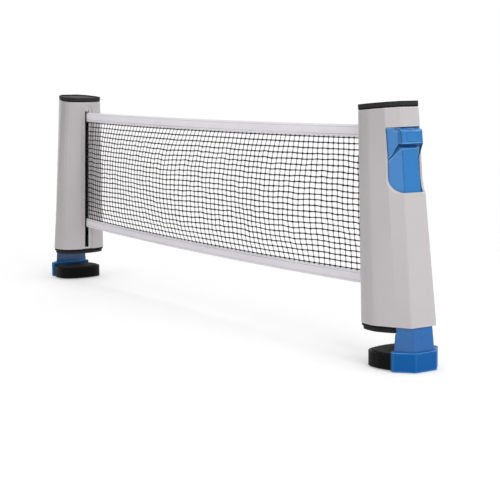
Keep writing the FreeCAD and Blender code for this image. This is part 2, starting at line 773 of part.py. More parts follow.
def build_jaw(side):
    body = new_body(f"{side}_clamp_jaw", side)
    half = [(s.jaw_face, s.jaw_face_half), (s.jaw_cheek, s.jaw_cheek_half), (s.jaw_back, s.jaw_back_half)]
    ring = draw(body, "jaw_outline", "XY_Plane", at_height(-s.jaw_bottom),
                [closed(half + [mirror(point) for point in half[::-1]])])
    pad(body, "jaw_block", ring, "sizes.jaw_bottom - sizes.rim_drop")
    tongue = draw(body, "tongue_outline", "XY_Plane", at_height(-s.tongue_low),
                  [rectangle(s.tongue_tip, -s.tongue_half, s.jaw_back + 1, s.tongue_half)])
    pad(body, "tongue", tongue, "sizes.tongue_thick")
    bottom = -s.rim_drop - s.slider_end
    inset = s.wall + s.slider_gap - s.socket_play
    socket = [
        draw(body, f"socket_{word}", "XY_Plane", at_height(z),
             [channel(z, inset, slider_back(z) - s.socket_play, s.slider_ease)])
        for word, z in (("low", bottom - s.socket_play), ("high", 0))
    ]
    loft(body, "socket", "PartDesign::SubtractiveLoft", socket)
    holes = draw(body, "tongue_holes", "XY_Plane", at_height(-s.tongue_low),
                 polygons(jaw_screw_spots, s.screw_radius + s.fit))
    pocket(body, "screw_sockets", holes, s.jaw_screw_long - 1, down=True)

    place = Placement(Vector(s.shoe_place, 0, -s.shoe_low), Rotation())
    shoe_top = -s.table_thick - s.jaw_pad_thick + s.jaw_pad_sunk
    body = new_body(f"{side}_jaw_foot", side)
    sole = draw(body, "shoe_outline", "XY_Plane", place, [outline("shoe", 0)])
    pad(body, "shoe", sole, shoe_top + s.shoe_low)
    recess = draw(body, "recess_outline", "XY_Plane", Placement(Vector(s.shoe_place, 0, shoe_top), Rotation()),
                  [outline("shoe", s.jaw_pad_inset)])
    pocket(body, "pad_recess", recess, "sizes.jaw_pad_sunk")
    slot_top = -s.tongue_low + s.tongue_thick + s.socket_play
    box = rectangle(s.tongue_tip - s.socket_play, -s.tongue_half - s.socket_play,
                    s.jaw_back + 1, s.tongue_half + s.socket_play)
    slot = draw(body, "tongue_slot_outline", "XY_Plane", at_height(slot_top), [box])
    pocket(body, "tongue_slot", slot, s.tongue_thick + s.socket_play)
    holes = draw(body, "shoe_holes", "XY_Plane", at_height(-s.tongue_low + 1),
                 polygons(jaw_screw_spots, s.screw_radius + s.screw_play))
    pocket(body, "screw_holes", holes, s.shoe_low - s.tongue_low + 2)
    sinks = draw(body, "shoe_sinks", "XY_Plane", at_height(-s.shoe_low),
                 polygons(jaw_screw_spots, s.screw_head + s.screw_play))
    pocket(body, "sinks", sinks, s.screw_head_high + s.sink_deeper, down=True)

    body = new_body(f"{side}_jaw_pad", side)
    place = Placement(Vector(s.shoe_place, 0, -s.table_thick - s.jaw_pad_thick), Rotation())
    face = draw(body, "pad_outline", "XY_Plane", place, [outline("shoe", s.jaw_pad_inset + s.fit)])
    pad(body, "pad", face, "sizes.jaw_pad_thick")

    head_top = -s.shoe_low + s.sink_deeper + s.screw_head_high
    keep_shape(f"{side}_jaw_screws", screws(jaw_screw_spots, head_top, s.jaw_screw_long), post_place(side))


def coil_place():
    """Foot of the clamp spring on its seat."""
    foot = s.seat_height + s.seat_thick
    return leaning(lean, ridge_u(foot) - s.coil_inset, foot)


def roller_place(z):
    return leaning(nose_lean, s.roller_place - nose_lean * (z - base_thick), z)


def build_chassis(side):
    body = new_body(f"{side}_chassis", side)
    rings = []
    for word, z in (("foot", base_thick), ("head", s.chassis_high)):
        front = slider_back(z) - s.chassis_gap
        rear = front - s.chassis_thick
        front_half = half_at(z, s.wall + s.lip_play + s.skirt_thick + s.cap_play, front)
        rings.append(draw(body, f"board_{word}", "XY_Plane", at_height(z),
                          [rectangle(rear, -front_half, front, front_half)]))
    loft(body, "board", "PartDesign::AdditiveLoft", rings)
    front = slider_back(s.seat_height) - s.chassis_gap
    reach = ridge_u(s.seat_height) - s.wall - s.slider_gap - s.slider_wall - s.seat_play
    seat = draw(body, "seat_outline", "XY_Plane", at_height(s.seat_height),
                [rectangle(front - 1, -s.seat_half, reach, s.seat_half)])
    pad(body, "spring_seat", seat, "sizes.seat_thick")
    if side == "near":
        front = slider_back(s.shelf_low) - s.chassis_gap
        top_board = draw(body, "shelf_outline", "XY_Plane", at_height(s.shelf_low),
                         [rectangle(roller_place(s.shelf_low).Base.x - s.shelf_reach, -s.shelf_half,
                                    front - s.chassis_thick / 2, s.shelf_half)])
        pad(body, "axle_shelf", top_board, "sizes.shelf_board")
        place = roller_place(s.shelf_low - 1)
        hole = draw(body, "axle_hole_outline", "XY_Plane", place, circles([(0, 0)], s.axle_radius + s.fit))
        pocket(body, "axle_hole", hole, 3 * s.shelf_board, down=True)

    place = coil_place()
    pin = Part.makeCylinder(s.pin_radius, s.pin_high)
    pin.translate(Vector(0, 0, s.pin_radius * lean))
    keep_shape(f"{side}_spring_guide", set_in(pin, place), post_place(side))
    along = (s.shelf_height - s.seat_height - s.seat_thick) * math.hypot(1, lean)
    spring = coil(s.coil_radius, s.coil_wire, s.coil_turns, along - s.coil_wire * lean * 4)
    keep_shape(f"{side}_clamp_spring", set_in(spring, place), post_place(side))


def build_roller():
    place = post_place("near")
    long = s.roller_high - s.roller_low
    base = roller_place(s.roller_low)
    tube = Part.makeCylinder(s.roller_radius, long).cut(Part.makeCylinder(s.roller_bore, long))
    keep_shape("net_roller", set_in(tube, base), place)
    bush = Part.makeCylinder(s.roller_bore, s.bush_long).cut(
        Part.makeCylinder(s.axle_radius + s.fit, s.bush_long))
    upper = bush.copy()
    upper.translate(Vector(0, 0, long - s.bush_long))
    keep_shape("roller_bushes", set_in(Part.makeCompound([bush, upper]), base), place)
    foot = base_thick + s.axle_foot
    axle = Part.makeCylinder(s.axle_radius, s.shelf_low + s.shelf_board - foot)
    keep_shape("roller_axle", set_in(axle, roller_place(foot)), place)
    spring = coil(s.return_coil_radius, s.return_wire, s.return_turns, s.return_long)
    keep_shape("return_spring", set_in(spring, roller_place(s.roller_low + s.bush_long + s.fit)), place)
    low = s.net_top - s.net_high
    wound = Part.makeCylinder(s.roll_radius, s.net_high).cut(Part.makeCylinder(s.roller_radius, s.net_high))
    keep_shape("net_roll", set_in(wound, roller_place(low)), place)


anchor_front = s.wall + s.lip_play + s.skirt_thick + s.anchor_play


def build_anchor():
    foot = base_thick + s.anchor_play
    start = anchor_front + s.anchor_radius
    rod = Part.makeCylinder(s.anchor_radius, s.anchor_top - foot)
    keep_shape("net_anchor", set_in(rod, leaning(nose_lean, start - nose_lean * s.anchor_play, foot)),
               post_place("far"))


def net_end(z, side):
    """X of the net's end at height z above the table."""
    if side == "near":
        return s.span / 2 + nose_u(z) + s.roller_place - s.roll_radius - s.net_play
    return -s.span / 2 - nose_u(z) - anchor_front + s.net_play


def net_point(across, z_of):
    """Point of the net at a share of its length, with its height given as a function of x."""
    x = 0.0
    for _ in range(4):
        z = z_of(x)
        x = net_end(z, "far") + across * (net_end(z, "near") - net_end(z, "far"))
    return Vector(x, 0, z_of(x) + table_z)


def sagging(height, sag):
    return lambda x: height - sag * (1 - (2 * x / s.span) ** 2)


def strip(low, high, thick):
    """Upright strip of the net between two sagging lines."""
    steps = s.mesh_columns
    lower = [net_point(step / steps, low) for step in range(steps + 1)]
    upper = [net_point(step / steps, high) for step in range(steps + 1)]
    ring = lower + upper[::-1]
    face = Part.Face(Part.makePolygon(ring + ring[:1]))
    face.translate(Vector(0, -thick / 2, 0))
    return face.extrude(Vector(0, thick, 0))


def build_net():
    foot = s.net_top - s.net_high
    edge = {
        "top_out": sagging(s.net_top, s.top_sag),
        "top_in": sagging(s.net_top - s.band_high, s.top_sag),
        "top_tuck": sagging(s.net_top - s.band_high + s.mesh_tuck, s.top_sag),
        "low_out": sagging(foot, s.bottom_sag),
        "low_in": sagging(foot + s.band_high, s.bottom_sag),
        "low_tuck": sagging(foot + s.band_high - s.mesh_tuck, s.bottom_sag),
    }
    for word in ("top", "low"):
        outer = strip(edge[word + "_in"], edge[word + "_out"], s.band_thick)
        inner = strip(edge[word + "_in"], edge[word + "_tuck"], s.mesh_thick)
        name = {"top": "net_top_band", "low": "net_bottom_band"}[word]
        keep_shape(name, outer.cut(inner), Placement())

    def knot(column, row):
        share = row / s.mesh_rows
        return net_point(
            column / s.mesh_columns,
            lambda x: edge["low_in"](x) + share * (edge["top_in"](x) - edge["low_in"](x)),
        )

    steps = s.mesh_columns
    ring = [net_point(step / steps, edge["low_tuck"]) for step in range(steps + 1)]
    ring += [net_point(step / steps, edge["top_tuck"]) for step in range(steps, -1, -1)]
    gaps = []
    half = s.cord_wide / 2
    for column in range(s.mesh_columns):
        for row in range(s.mesh_rows):
            corners = [knot(column, row), knot(column + 1, row), knot(column + 1, row + 1), knot(column, row + 1)]
            pulls = [(half, half), (-half, half), (-half, -half), (half, -half)]
            quad = [corner + Vector(dx, 0, dz) for corner, (dx, dz) in zip(corners, pulls)]
            gaps.append(Part.Face(Part.makePolygon(quad + quad[:1])))
    sheet_face = Part.Face(Part.makePolygon(ring + ring[:1])).cut(Part.makeCompound(gaps))
    sheet_face.translate(Vector(0, -s.mesh_thick / 2, 0))
    mesh = sheet_face.extrude(Vector(0, s.mesh_thick, 0))
    keep_shape("net_mesh", mesh.Solids[0], Placement())


for side in ("near", "far"):
    build_housing(side)
    build_cap(side)
    build_base(side)
    build_slider(side)
    build_jaw(side)
    build_chassis(side)
build_roller()
build_anchor()
build_net()
document.recompute()

for thing in nodes:
    if "Invalid" in thing.State or "Error" in thing.State:
        raise RuntimeError(f"{thing.Label} is not sound: {thing.State}")
    if thing.Shape.isNull() or not thing.Shape.isValid():
        raise RuntimeError(f"{thing.Label} has no valid shape")

os.makedirs("parts", exist_ok=True)
for thing in nodes:
    thing.Shape.exportStep(f"parts/{thing.Label}.step")
    print(thing.Label, round(thing.Shape.Volume), len(thing.Shape.Solids))
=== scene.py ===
import math

import bpy
from mathutils import Matrix, Vector


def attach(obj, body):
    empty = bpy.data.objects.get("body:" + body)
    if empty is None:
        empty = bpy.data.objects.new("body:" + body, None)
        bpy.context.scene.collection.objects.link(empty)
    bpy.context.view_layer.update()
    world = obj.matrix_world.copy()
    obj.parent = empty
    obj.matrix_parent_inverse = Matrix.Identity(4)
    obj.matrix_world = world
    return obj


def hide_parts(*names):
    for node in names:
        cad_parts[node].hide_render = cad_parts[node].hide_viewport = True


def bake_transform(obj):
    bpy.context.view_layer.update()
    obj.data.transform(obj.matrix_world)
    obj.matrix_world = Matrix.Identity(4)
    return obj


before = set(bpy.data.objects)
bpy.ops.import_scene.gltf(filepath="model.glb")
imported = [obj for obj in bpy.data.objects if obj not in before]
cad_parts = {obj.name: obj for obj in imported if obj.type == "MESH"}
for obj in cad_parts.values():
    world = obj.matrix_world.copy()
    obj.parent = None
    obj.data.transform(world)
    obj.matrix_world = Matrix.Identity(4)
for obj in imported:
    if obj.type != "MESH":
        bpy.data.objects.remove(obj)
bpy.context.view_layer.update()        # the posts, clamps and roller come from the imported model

print("frame loaded:", len(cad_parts), "nodes")


def clearSelection():
    if bpy.context.object and bpy.context.object.mode != "OBJECT":
        bpy.ops.object.mode_set(mode="OBJECT")
    bpy.ops.object.select_all(action="DESELECT")


def newest(name):
    piece = bpy.context.object
    piece.name = name
    piece.data.name = name
    return piece


def pickOnly(piece):
    clearSelection()
    piece.select_set(True)
    bpy.context.view_layer.objects.active = piece


def settle(piece):
    pickOnly(piece)
    bpy.ops.object.transform_apply(location=True, rotation=True, scale=True)


def applyModifiers(piece):
    pickOnly(piece)
    for modifier in list(piece.modifiers):
        bpy.ops.object.modifier_apply(modifier=modifier.name)


def chooseVerts(piece, test):    # in edit mode: selects the vertices whose place passes the test
    bpy.ops.mesh.select_mode(type="VERT")
    bpy.ops.mesh.select_all(action="DESELECT")
    bpy.ops.object.mode_set(mode="OBJECT")
    for vertex in piece.data.vertices:
        vertex.select = test(vertex.co)
    bpy.ops.object.mode_set(mode="EDIT")


def joinAll(pieces, name):
    clearSelection()
    for piece in pieces:
        piece.select_set(True)
    bpy.context.view_layer.objects.active = pieces[0]
    bpy.ops.object.join()
    return newest(name)


def soften(piece, width):    # a small rounding along every edge
    rounding = piece.modifiers.new("soften", "BEVEL")
    rounding.width = width
    rounding.segments = 2
    applyModifiers(piece)


def turnedRound(piece, name):    # the far post is the near one turned half round
    pickOnly(piece)
    bpy.ops.object.duplicate()
    copy = newest(name)
    copy.rotation_euler[2] = math.pi
    settle(copy)
    return copy


def addNode(tree, kind, **values):
    node = tree.nodes.new(kind)
    for key, value in values.items():
        if hasattr(node, key):
            setattr(node, key, value)
        else:
            node.inputs[key].default_value = value
    return node


def feed(tree, socket, amount):    # a socket takes a link or a plain value
    if hasattr(amount, "links"):
        tree.links.new(amount, socket)
    else:
        socket.default_value = amount


def objectPlace(tree):
    return addNode(tree, "ShaderNodeTexCoord").outputs["Object"]


def noise(tree, place, scale, detail=2.0, rough=0.5):
    node = addNode(tree, "ShaderNodeTexNoise", Scale=scale, Detail=detail, Roughness=rough)
    tree.links.new(place, node.inputs["Vector"])
    return node.outputs["Fac"]


def ranged(tree, value, low, high, toLow=0.0, toHigh=1.0):
    node = tree.nodes.new("ShaderNodeMapRange")
    for number, amount in enumerate((value, low, high, toLow, toHigh)):
        feed(tree, node.inputs[number], amount)
    return node.outputs[0]


def maths(tree, operation, first, second=None):
    node = addNode(tree, "ShaderNodeMath", operation=operation)
    feed(tree, node.inputs[0], first)
    if second is not None:
        feed(tree, node.inputs[1], second)
    return node.outputs[0]


def vectorMaths(tree, operation, first, second=None):
    node = addNode(tree, "ShaderNodeVectorMath", operation=operation)
    feed(tree, node.inputs[0], first)
    if second is not None:
        feed(tree, node.inputs[1], second)
    return node.outputs["Value" if operation in ("LENGTH", "DOT_PRODUCT") else "Vector"]


def splitUp(tree, vector):
    node = addNode(tree, "ShaderNodeSeparateXYZ")
    tree.links.new(vector, node.inputs[0])
    return node.outputs


def mixed(tree, share, first, second, blend="MIX"):
    node = addNode(tree, "ShaderNodeMix", data_type="RGBA", blend_type=blend)
    for number, amount in ((0, share), (6, first), (7, second)):
        feed(tree, node.inputs[number], amount)
    return node.outputs[2]


def toned(tree, color, tone):    # a colour made lighter or darker by a plain tone
    gray = addNode(tree, "ShaderNodeCombineColor")
    for number in range(3):
        tree.links.new(tone, gray.inputs[number])
    return mixed(tree, 1.0, color, gray.outputs[0], "MULTIPLY")


def bumped(tree, height, strength, deep, normal=None):
    bump = addNode(tree, "ShaderNodeBump", Strength=strength, Distance=deep)
    tree.links.new(height, bump.inputs["Height"])
    if normal is not None:
        tree.links.new(normal, bump.inputs["Normal"])
    return bump.outputs[0]


def startGroup(name, ins, outs):
    tree = bpy.data.node_groups.new(name, "ShaderNodeTree")
    for label, value in ins.items():
        kind = "NodeSocketFloat" if isinstance(value, float) else "NodeSocketColor"
        tree.interface.new_socket(label, in_out="INPUT", socket_type=kind).default_value = value
    for label in outs:
        kind = "NodeSocketColor" if label == "Color" else "NodeSocketFloat"
        tree.interface.new_socket(label, in_out="OUTPUT", socket_type=kind)
    return tree, tree.nodes.new("NodeGroupInput").outputs, tree.nodes.new("NodeGroupOutput").inputs


skin = {
    "cloudScale": 14.0,                         # faint broad clouds in the colour
    "cloudSpan": (0.3, 0.7),
    "fleckScale": 2600.0,                       # and fine flecks
    "fleckSpan": (0.2, 0.8, 0.965, 1.035),
    "smearScale": 60.0,                         # patches that hands have made duller or smoother
    "smearSpan": (0.3, 0.7, -0.05, 0.07),
    "grainDeep": 0.0002,
}


def buildMouldedSkin():
    tree, give, take = startGroup(
        "mouldedSkin",
        {"Color": (0.5, 0.5, 0.5, 1), "Mottle": 0.06, "Rough": 0.4, "Grain Scale": 1500.0},
        ("Color", "Roughness", "Height"))
    place = objectPlace(tree)
    low = maths(tree, "SUBTRACT", 1.0, give["Mottle"])
    high = maths(tree, "ADD", 1.0, give["Mottle"])
    shade = ranged(tree, noise(tree, place, skin["cloudScale"], 3.0), *skin["cloudSpan"], low, high)
    fleck = ranged(tree, noise(tree, place, skin["fleckScale"], 1.0), *skin["fleckSpan"])
    tree.links.new(toned(tree, give["Color"], maths(tree, "MULTIPLY", shade, fleck)), take["Color"])
    smear = ranged(tree, noise(tree, place, skin["smearScale"], 4.0), *skin["smearSpan"])
    tree.links.new(maths(tree, "ADD", smear, give["Rough"]), take["Roughness"])
    cells = addNode(tree, "ShaderNodeTexVoronoi", feature="SMOOTH_F1", Randomness=1.0)
    tree.links.new(place, cells.inputs["Vector"])
    tree.links.new(give["Grain Scale"], cells.inputs["Scale"])
    tree.links.new(cells.outputs["Distance"], take["Height"])
    return tree


rubAndLight = {
    "reach": 0.0020,                            # from an edge
    "edgeSpan": (0.998, 0.93),                  # how far the rounded normal turns from the flat one
    "patchScale": 55.0,
    "patchSpan": (0.40, 0.60, 0.55, 1.0),
    "uprightSpan": (0.22, 0.12),                # upright edges that face sideways get painted shade
    "sidewaysSpan": (0.10, 0.25),
}


# edges get a lighter colour in patches, partly scuffs and partly painted highlight, and upright edges that
# face sideways get painted shade
def buildEdgeRubAndLight():
    tree, give, take = startGroup(
        "edgeRubAndPaintedLight",
        {"Color": (0.5, 0.5, 0.5, 1), "Rubbed": (0.7, 0.7, 0.7, 1), "Worn Dark": (0.3, 0.3, 0.3, 1),
         "Amount": 0.5},
        ("Color",))
    rounded = addNode(tree, "ShaderNodeBevel", samples=6, Radius=rubAndLight["reach"]).outputs[0]
    flat = addNode(tree, "ShaderNodeNewGeometry").outputs["Normal"]
    edge = ranged(tree, vectorMaths(tree, "DOT_PRODUCT", rounded, flat), *rubAndLight["edgeSpan"])
    patch = ranged(tree, noise(tree, objectPlace(tree), rubAndLight["patchScale"], 4.0), *rubAndLight["patchSpan"])
    mask = maths(tree, "MULTIPLY", maths(tree, "MULTIPLY", edge, patch), give["Amount"])
    split = splitUp(tree, rounded)
    upright = ranged(tree, maths(tree, "ABSOLUTE", split["Z"]), *rubAndLight["uprightSpan"])
    sideways = ranged(tree, maths(tree, "ABSOLUTE", split["Y"]), *rubAndLight["sidewaysSpan"])
    paintedTone = mixed(tree, maths(tree, "MULTIPLY", upright, sideways), give["Rubbed"], give["Worn Dark"])
    tree.links.new(mixed(tree, mask, give["Color"], paintedTone), take["Color"])
    return tree


dust = {
    "color": (0.42, 0.40, 0.37, 1),
    "upwardSpan": (0.3, 1.0),                   # it lies on what faces up
    "patchScale": 120.0,
    "patchSpan": (0.35, 0.7, 0.3, 1.0),
}


def buildDust():
    tree, give, take = startGroup("settledDust", {"Color": (0.5, 0.5, 0.5, 1), "Amount": 0.1}, ("Color",))
    normal = addNode(tree, "ShaderNodeNewGeometry").outputs["Normal"]
    upward = ranged(tree, splitUp(tree, normal)["Z"], *dust["upwardSpan"])
    patch = ranged(tree, noise(tree, objectPlace(tree), dust["patchScale"], 5.0, 0.6), *dust["patchSpan"])
    mask = maths(tree, "MULTIPLY", maths(tree, "MULTIPLY", upward, patch), give["Amount"])
    tree.links.new(mixed(tree, mask, give["Color"], dust["color"]), take["Color"])
    return tree


groups = {"skin": buildMouldedSkin(), "rubAndLight": buildEdgeRubAndLight(), "dust": buildDust()}


def useGroup(tree, word, **values):
    node = tree.nodes.new("ShaderNodeGroup")
    node.node_tree = groups[word]
    for key, value in values.items():
        node.inputs[key.replace("_", " ")].default_value = value
    return node


def startMaterial(name, **values):
    material = bpy.data.materials.new(name)
    material.use_nodes = True
    tree = material.node_tree
    shader = tree.nodes["Principled BSDF"]
    for key, value in values.items():
        shader.inputs[key.replace("_", " ")].default_value = value
    return material, tree, shader


def thumbPaintedShade(tree, marks):    # painted shade in the hood's hollows and along the outline on its face
    even = vectorMaths(tree, "ABSOLUTE", objectPlace(tree))      # the same on both sides and both posts
    hollow = 0.0
    for centre, reach in marks["hollows"]:
        off = vectorMaths(tree, "SUBTRACT", even, centre)
        far = vectorMaths(tree, "LENGTH", vectorMaths(tree, "DIVIDE", off, reach))
        hollow = maths(tree, "MAXIMUM", ranged(tree, far, 1.0, marks["hollowCore"]), hollow)
    split = splitUp(tree, even)
    side = maths(tree, "SUBTRACT", split["Y"], marks["outlineHalf"])
    rise = maths(tree, "ABSOLUTE", maths(tree, "SUBTRACT", split["Z"], marks["outlineAt"]))
    off = maths(tree, "MAXIMUM", side, maths(tree, "SUBTRACT", rise, marks["outlineHigh"]))
    line = ranged(tree, maths(tree, "ABSOLUTE", off), marks["outlineWide"], 0.0)
    line = maths(tree, "MULTIPLY", line, ranged(tree, split["X"], *marks["faceSpan"]))
    return maths(tree, "MAXIMUM", maths(tree, "MULTIPLY", hollow, marks["hollowShade"]),
                 maths(tree, "MULTIPLY", line, marks["outlineShade"]))


def mouldedPlastic(name, look):
    # moulded plastic: mottled colour, fine grain, softened edges with scuffs, painted highlights and painted
    # shade along them, a little dust
    material, tree, shader = startMaterial(name, Specular_IOR_Level=look["shine"], Coat_Weight=look["coat"],
                                           Coat_Roughness=0.08)
    color, paintedTone = (*look["color"], 1), (*look["paintedTone"], 1)
    base = useGroup(tree, "skin", Color=color, Mottle=look["mottle"], Rough=look["rough"],
                    Grain_Scale=look["grainScale"])
    edges = useGroup(tree, "rubAndLight", Rubbed=(*look["rubAndHighlight"], 1), Worn_Dark=paintedTone, Amount=look["rubAndLightAmount"])
    settled = useGroup(tree, "dust", Amount=look["dust"])
    if "paintedShadeBelow" in look:      # painted shade: the blue turns darker low down, below the post
        low = ranged(tree, splitUp(tree, objectPlace(tree))["Z"], *look["paintedShadeSpan"])
        tree.links.new(mixed(tree, low, color, (*look["paintedShadeBelow"], 1)), base.inputs["Color"])
    tree.links.new(base.outputs["Color"], edges.inputs["Color"])
    tree.links.new(edges.outputs["Color"], settled.inputs["Color"])
    finish = settled.outputs["Color"]
    # painted shade in the thumb block's hollows and along its outline
    if "thumb" in look:
        finish = mixed(tree, thumbPaintedShade(tree, look["thumb"]), finish, paintedTone)
    tree.links.new(finish, shader.inputs["Base Color"])
    tree.links.new(base.outputs["Roughness"], shader.inputs["Roughness"])
    soft = addNode(tree, "ShaderNodeBevel", samples=6, Radius=look["round"]).outputs[0]
    grain = bumped(tree, base.outputs["Height"], look["grain"], skin["grainDeep"], soft)
    tree.links.new(grain, shader.inputs["Normal"])
    return material


plasticLooks = {
    "housing": {"color": (0.53, 0.503, 0.507), "mottle": 0.03, "rough": 0.36, "grainScale": 1700.0,
                "grain": 0.10, "rubAndHighlight": (0.74, 0.73, 0.74), "paintedTone": (0.47, 0.455, 0.455), "rubAndLightAmount": 0.7,
                "dust": 0.02, "shine": 0.5, "coat": 0.10, "round": 0.0014},
    "cap": {"color": (0.034, 0.032, 0.034), "mottle": 0.12, "rough": 0.55, "grainScale": 1300.0, "grain": 0.2,
            "rubAndHighlight": (0.004, 0.004, 0.004), "paintedTone": (0.010, 0.010, 0.011), "rubAndLightAmount": 1.0, "dust": 0.02,
            "shine": 0.08, "coat": 0.0, "round": 0.0005},
    "base": {"color": (0.004, 0.004, 0.005), "mottle": 0.2, "rough": 0.55, "grainScale": 1200.0,
             "grain": 0.25, "rubAndHighlight": (0.02, 0.02, 0.02), "paintedTone": (0.003, 0.003, 0.003), "rubAndLightAmount": 0.5,
             "dust": 0.01, "shine": 0.15, "coat": 0.0, "round": 0.0005},
    # the darker blue low on the slider is painted shade
    "blue": {"color": (0.036, 0.200, 0.500), "paintedShadeBelow": (0.003, 0.118, 0.385), "paintedShadeSpan": (0.050, 0.030),
             "mottle": 0.05, "rough": 0.24, "grainScale": 1500.0, "grain": 0.08, "rubAndHighlight": (0.17, 0.42, 0.74),
             "paintedTone": (0.002, 0.060, 0.24), "rubAndLightAmount": 1.0, "dust": 0.0, "shine": 0.40, "coat": 0.5,
             "round": 0.0008,
             "thumb": {"hollows": [((0.3279, 0.0, 0.2032), (0.0022, 0.0044, 0.0016)),      # centre, reach
                                   ((0.3244, 0.0127, 0.2031), (0.0032, 0.0042, 0.0013))],
                       "hollowCore": 0.4, "hollowShade": 0.45, "outlineHalf": 0.0062, "outlineAt": 0.1969,
                       "outlineHigh": 0.0036, "outlineWide": 0.0005, "outlineShade": 0.35,
                       "faceSpan": (0.3285, 0.3290)}},
    # the lip's dark blue is painted shade under the hood block
    "hoodShade": {"color": (0.001, 0.045, 0.17), "mottle": 0.05, "rough": 0.4, "grainScale": 1500.0,
                  "grain": 0.08, "rubAndHighlight": (0.01, 0.10, 0.30), "paintedTone": (0.001, 0.03, 0.12), "rubAndLightAmount": 0.5,
                  "dust": 0.0, "shine": 0.2, "coat": 0.0, "round": 0.0005},
    # a darker copy of the slider's blue: painted shade on the jaw
    "jawBluePaintedShade": {"color": (0.001, 0.102, 0.350), "mottle": 0.06, "rough": 0.36, "grainScale": 1500.0,
                "grain": 0.08, "rubAndHighlight": (0.12, 0.36, 0.72), "paintedTone": (0.03, 0.20, 0.50), "rubAndLightAmount": 1.0,
                "dust": 0.0, "shine": 0.16, "coat": 0.0, "round": 0.0012},
    "shoe": {"color": (0.003, 0.003, 0.003), "mottle": 0.2, "rough": 0.5, "grainScale": 1200.0, "grain": 0.2,
             "rubAndHighlight": (0.022, 0.022, 0.024), "paintedTone": (0.002, 0.002, 0.002), "rubAndLightAmount": 0.6, "dust": 0.0,
             "shine": 0.10, "coat": 0.0, "round": 0.0009},
    "rubber": {"color": (0.020, 0.019, 0.018), "mottle": 0.25, "rough": 0.78, "grainScale": 700.0,
               "grain": 0.6, "rubAndHighlight": (0.06, 0.058, 0.055), "paintedTone": (0.03, 0.03, 0.03), "rubAndLightAmount": 0.5,
               "dust": 0.12, "shine": 0.3, "coat": 0.0, "round": 0.0004},
    "bush": {"color": (0.70, 0.68, 0.62), "mottle": 0.03, "rough": 0.45, "grainScale": 900.0, "grain": 0.1,
             "rubAndHighlight": (0.6, 0.58, 0.52), "paintedTone": (0.5, 0.48, 0.43), "rubAndLightAmount": 0.4, "dust": 0.0,
             "shine": 0.4, "coat": 0.0, "round": 0.0003},
}
plastics = {word: mouldedPlastic(word + "Plastic", look) for word, look in plasticLooks.items()}


turning = {
    "streakSpan": (0.2, 0.8),
    "roughSpread": (-0.08, 0.12),               # duller and brighter lines
    "bump": 0.15,
    "bumpDeep": 0.0001,
    "stainScale": 90.0,
    "stainSpan": (0.35, 0.65),
    "stainShare": 0.7,                          # of the bright colour
}


def turnedMetal(name, look):    # drawn or turned metal: fine lines along its length, uneven brightness
    material, tree, shader = startMaterial(name, Metallic=1.0)
    place = objectPlace(tree)
    squeeze = addNode(tree, "ShaderNodeMapping", Scale=look["lines"])
    tree.links.new(place, squeeze.inputs["Vector"])
    streak = noise(tree, squeeze.outputs[0], 1.0, 3.0, 0.6)
    stain = ranged(tree, noise(tree, place, turning["stainScale"], 4.0), *turning["stainSpan"])
    dark = tuple(turning["stainShare"] * part for part in look["color"])
    tree.links.new(mixed(tree, stain, (*dark, 1), (*look["color"], 1)), shader.inputs["Base Color"])
    low, high = (look["rough"] + part for part in turning["roughSpread"])
    tree.links.new(ranged(tree, streak, *turning["streakSpan"], low, high), shader.inputs["Roughness"])
    tree.links.new(bumped(tree, streak, turning["bump"], turning["bumpDeep"]), shader.inputs["Normal"])
    return material


metalLooks = {
    "zinc": {"color": (0.60, 0.60, 0.62), "rough": 0.34, "lines": (2200.0, 2200.0, 400.0)},
    "springWire": {"color": (0.42, 0.42, 0.44), "rough": 0.30, "lines": (1500.0, 1500.0, 1500.0)},
    "aluminium": {"color": (0.72, 0.73, 0.75), "rough": 0.32, "lines": (1800.0, 1800.0, 60.0)},
    "rod": {"color": (0.58, 0.58, 0.60), "rough": 0.25, "lines": (2000.0, 2000.0, 50.0)},
}
metals = {word: turnedMetal(word + "Metal", look) for word, look in metalLooks.items()}


weaving = {
    "ribWaver": 0.6,
    "yarnWaver": 0.8,
    "weaveSpan": (0.0, 1.0, 0.94, 1.04),
    "bump": 0.35,
    "bumpDeep": 0.0003,
    "stainScale": 0.045,                        # from here on in millimetres of the tape
    "stainSpan": (0.3, 0.75),
    "seamSpan": (0.55, 0.1),                    # the dip beside the stitches
    "seamShade": 0.22,
    "foldWide": 0.9,
    "foldShade": 0.16,
}


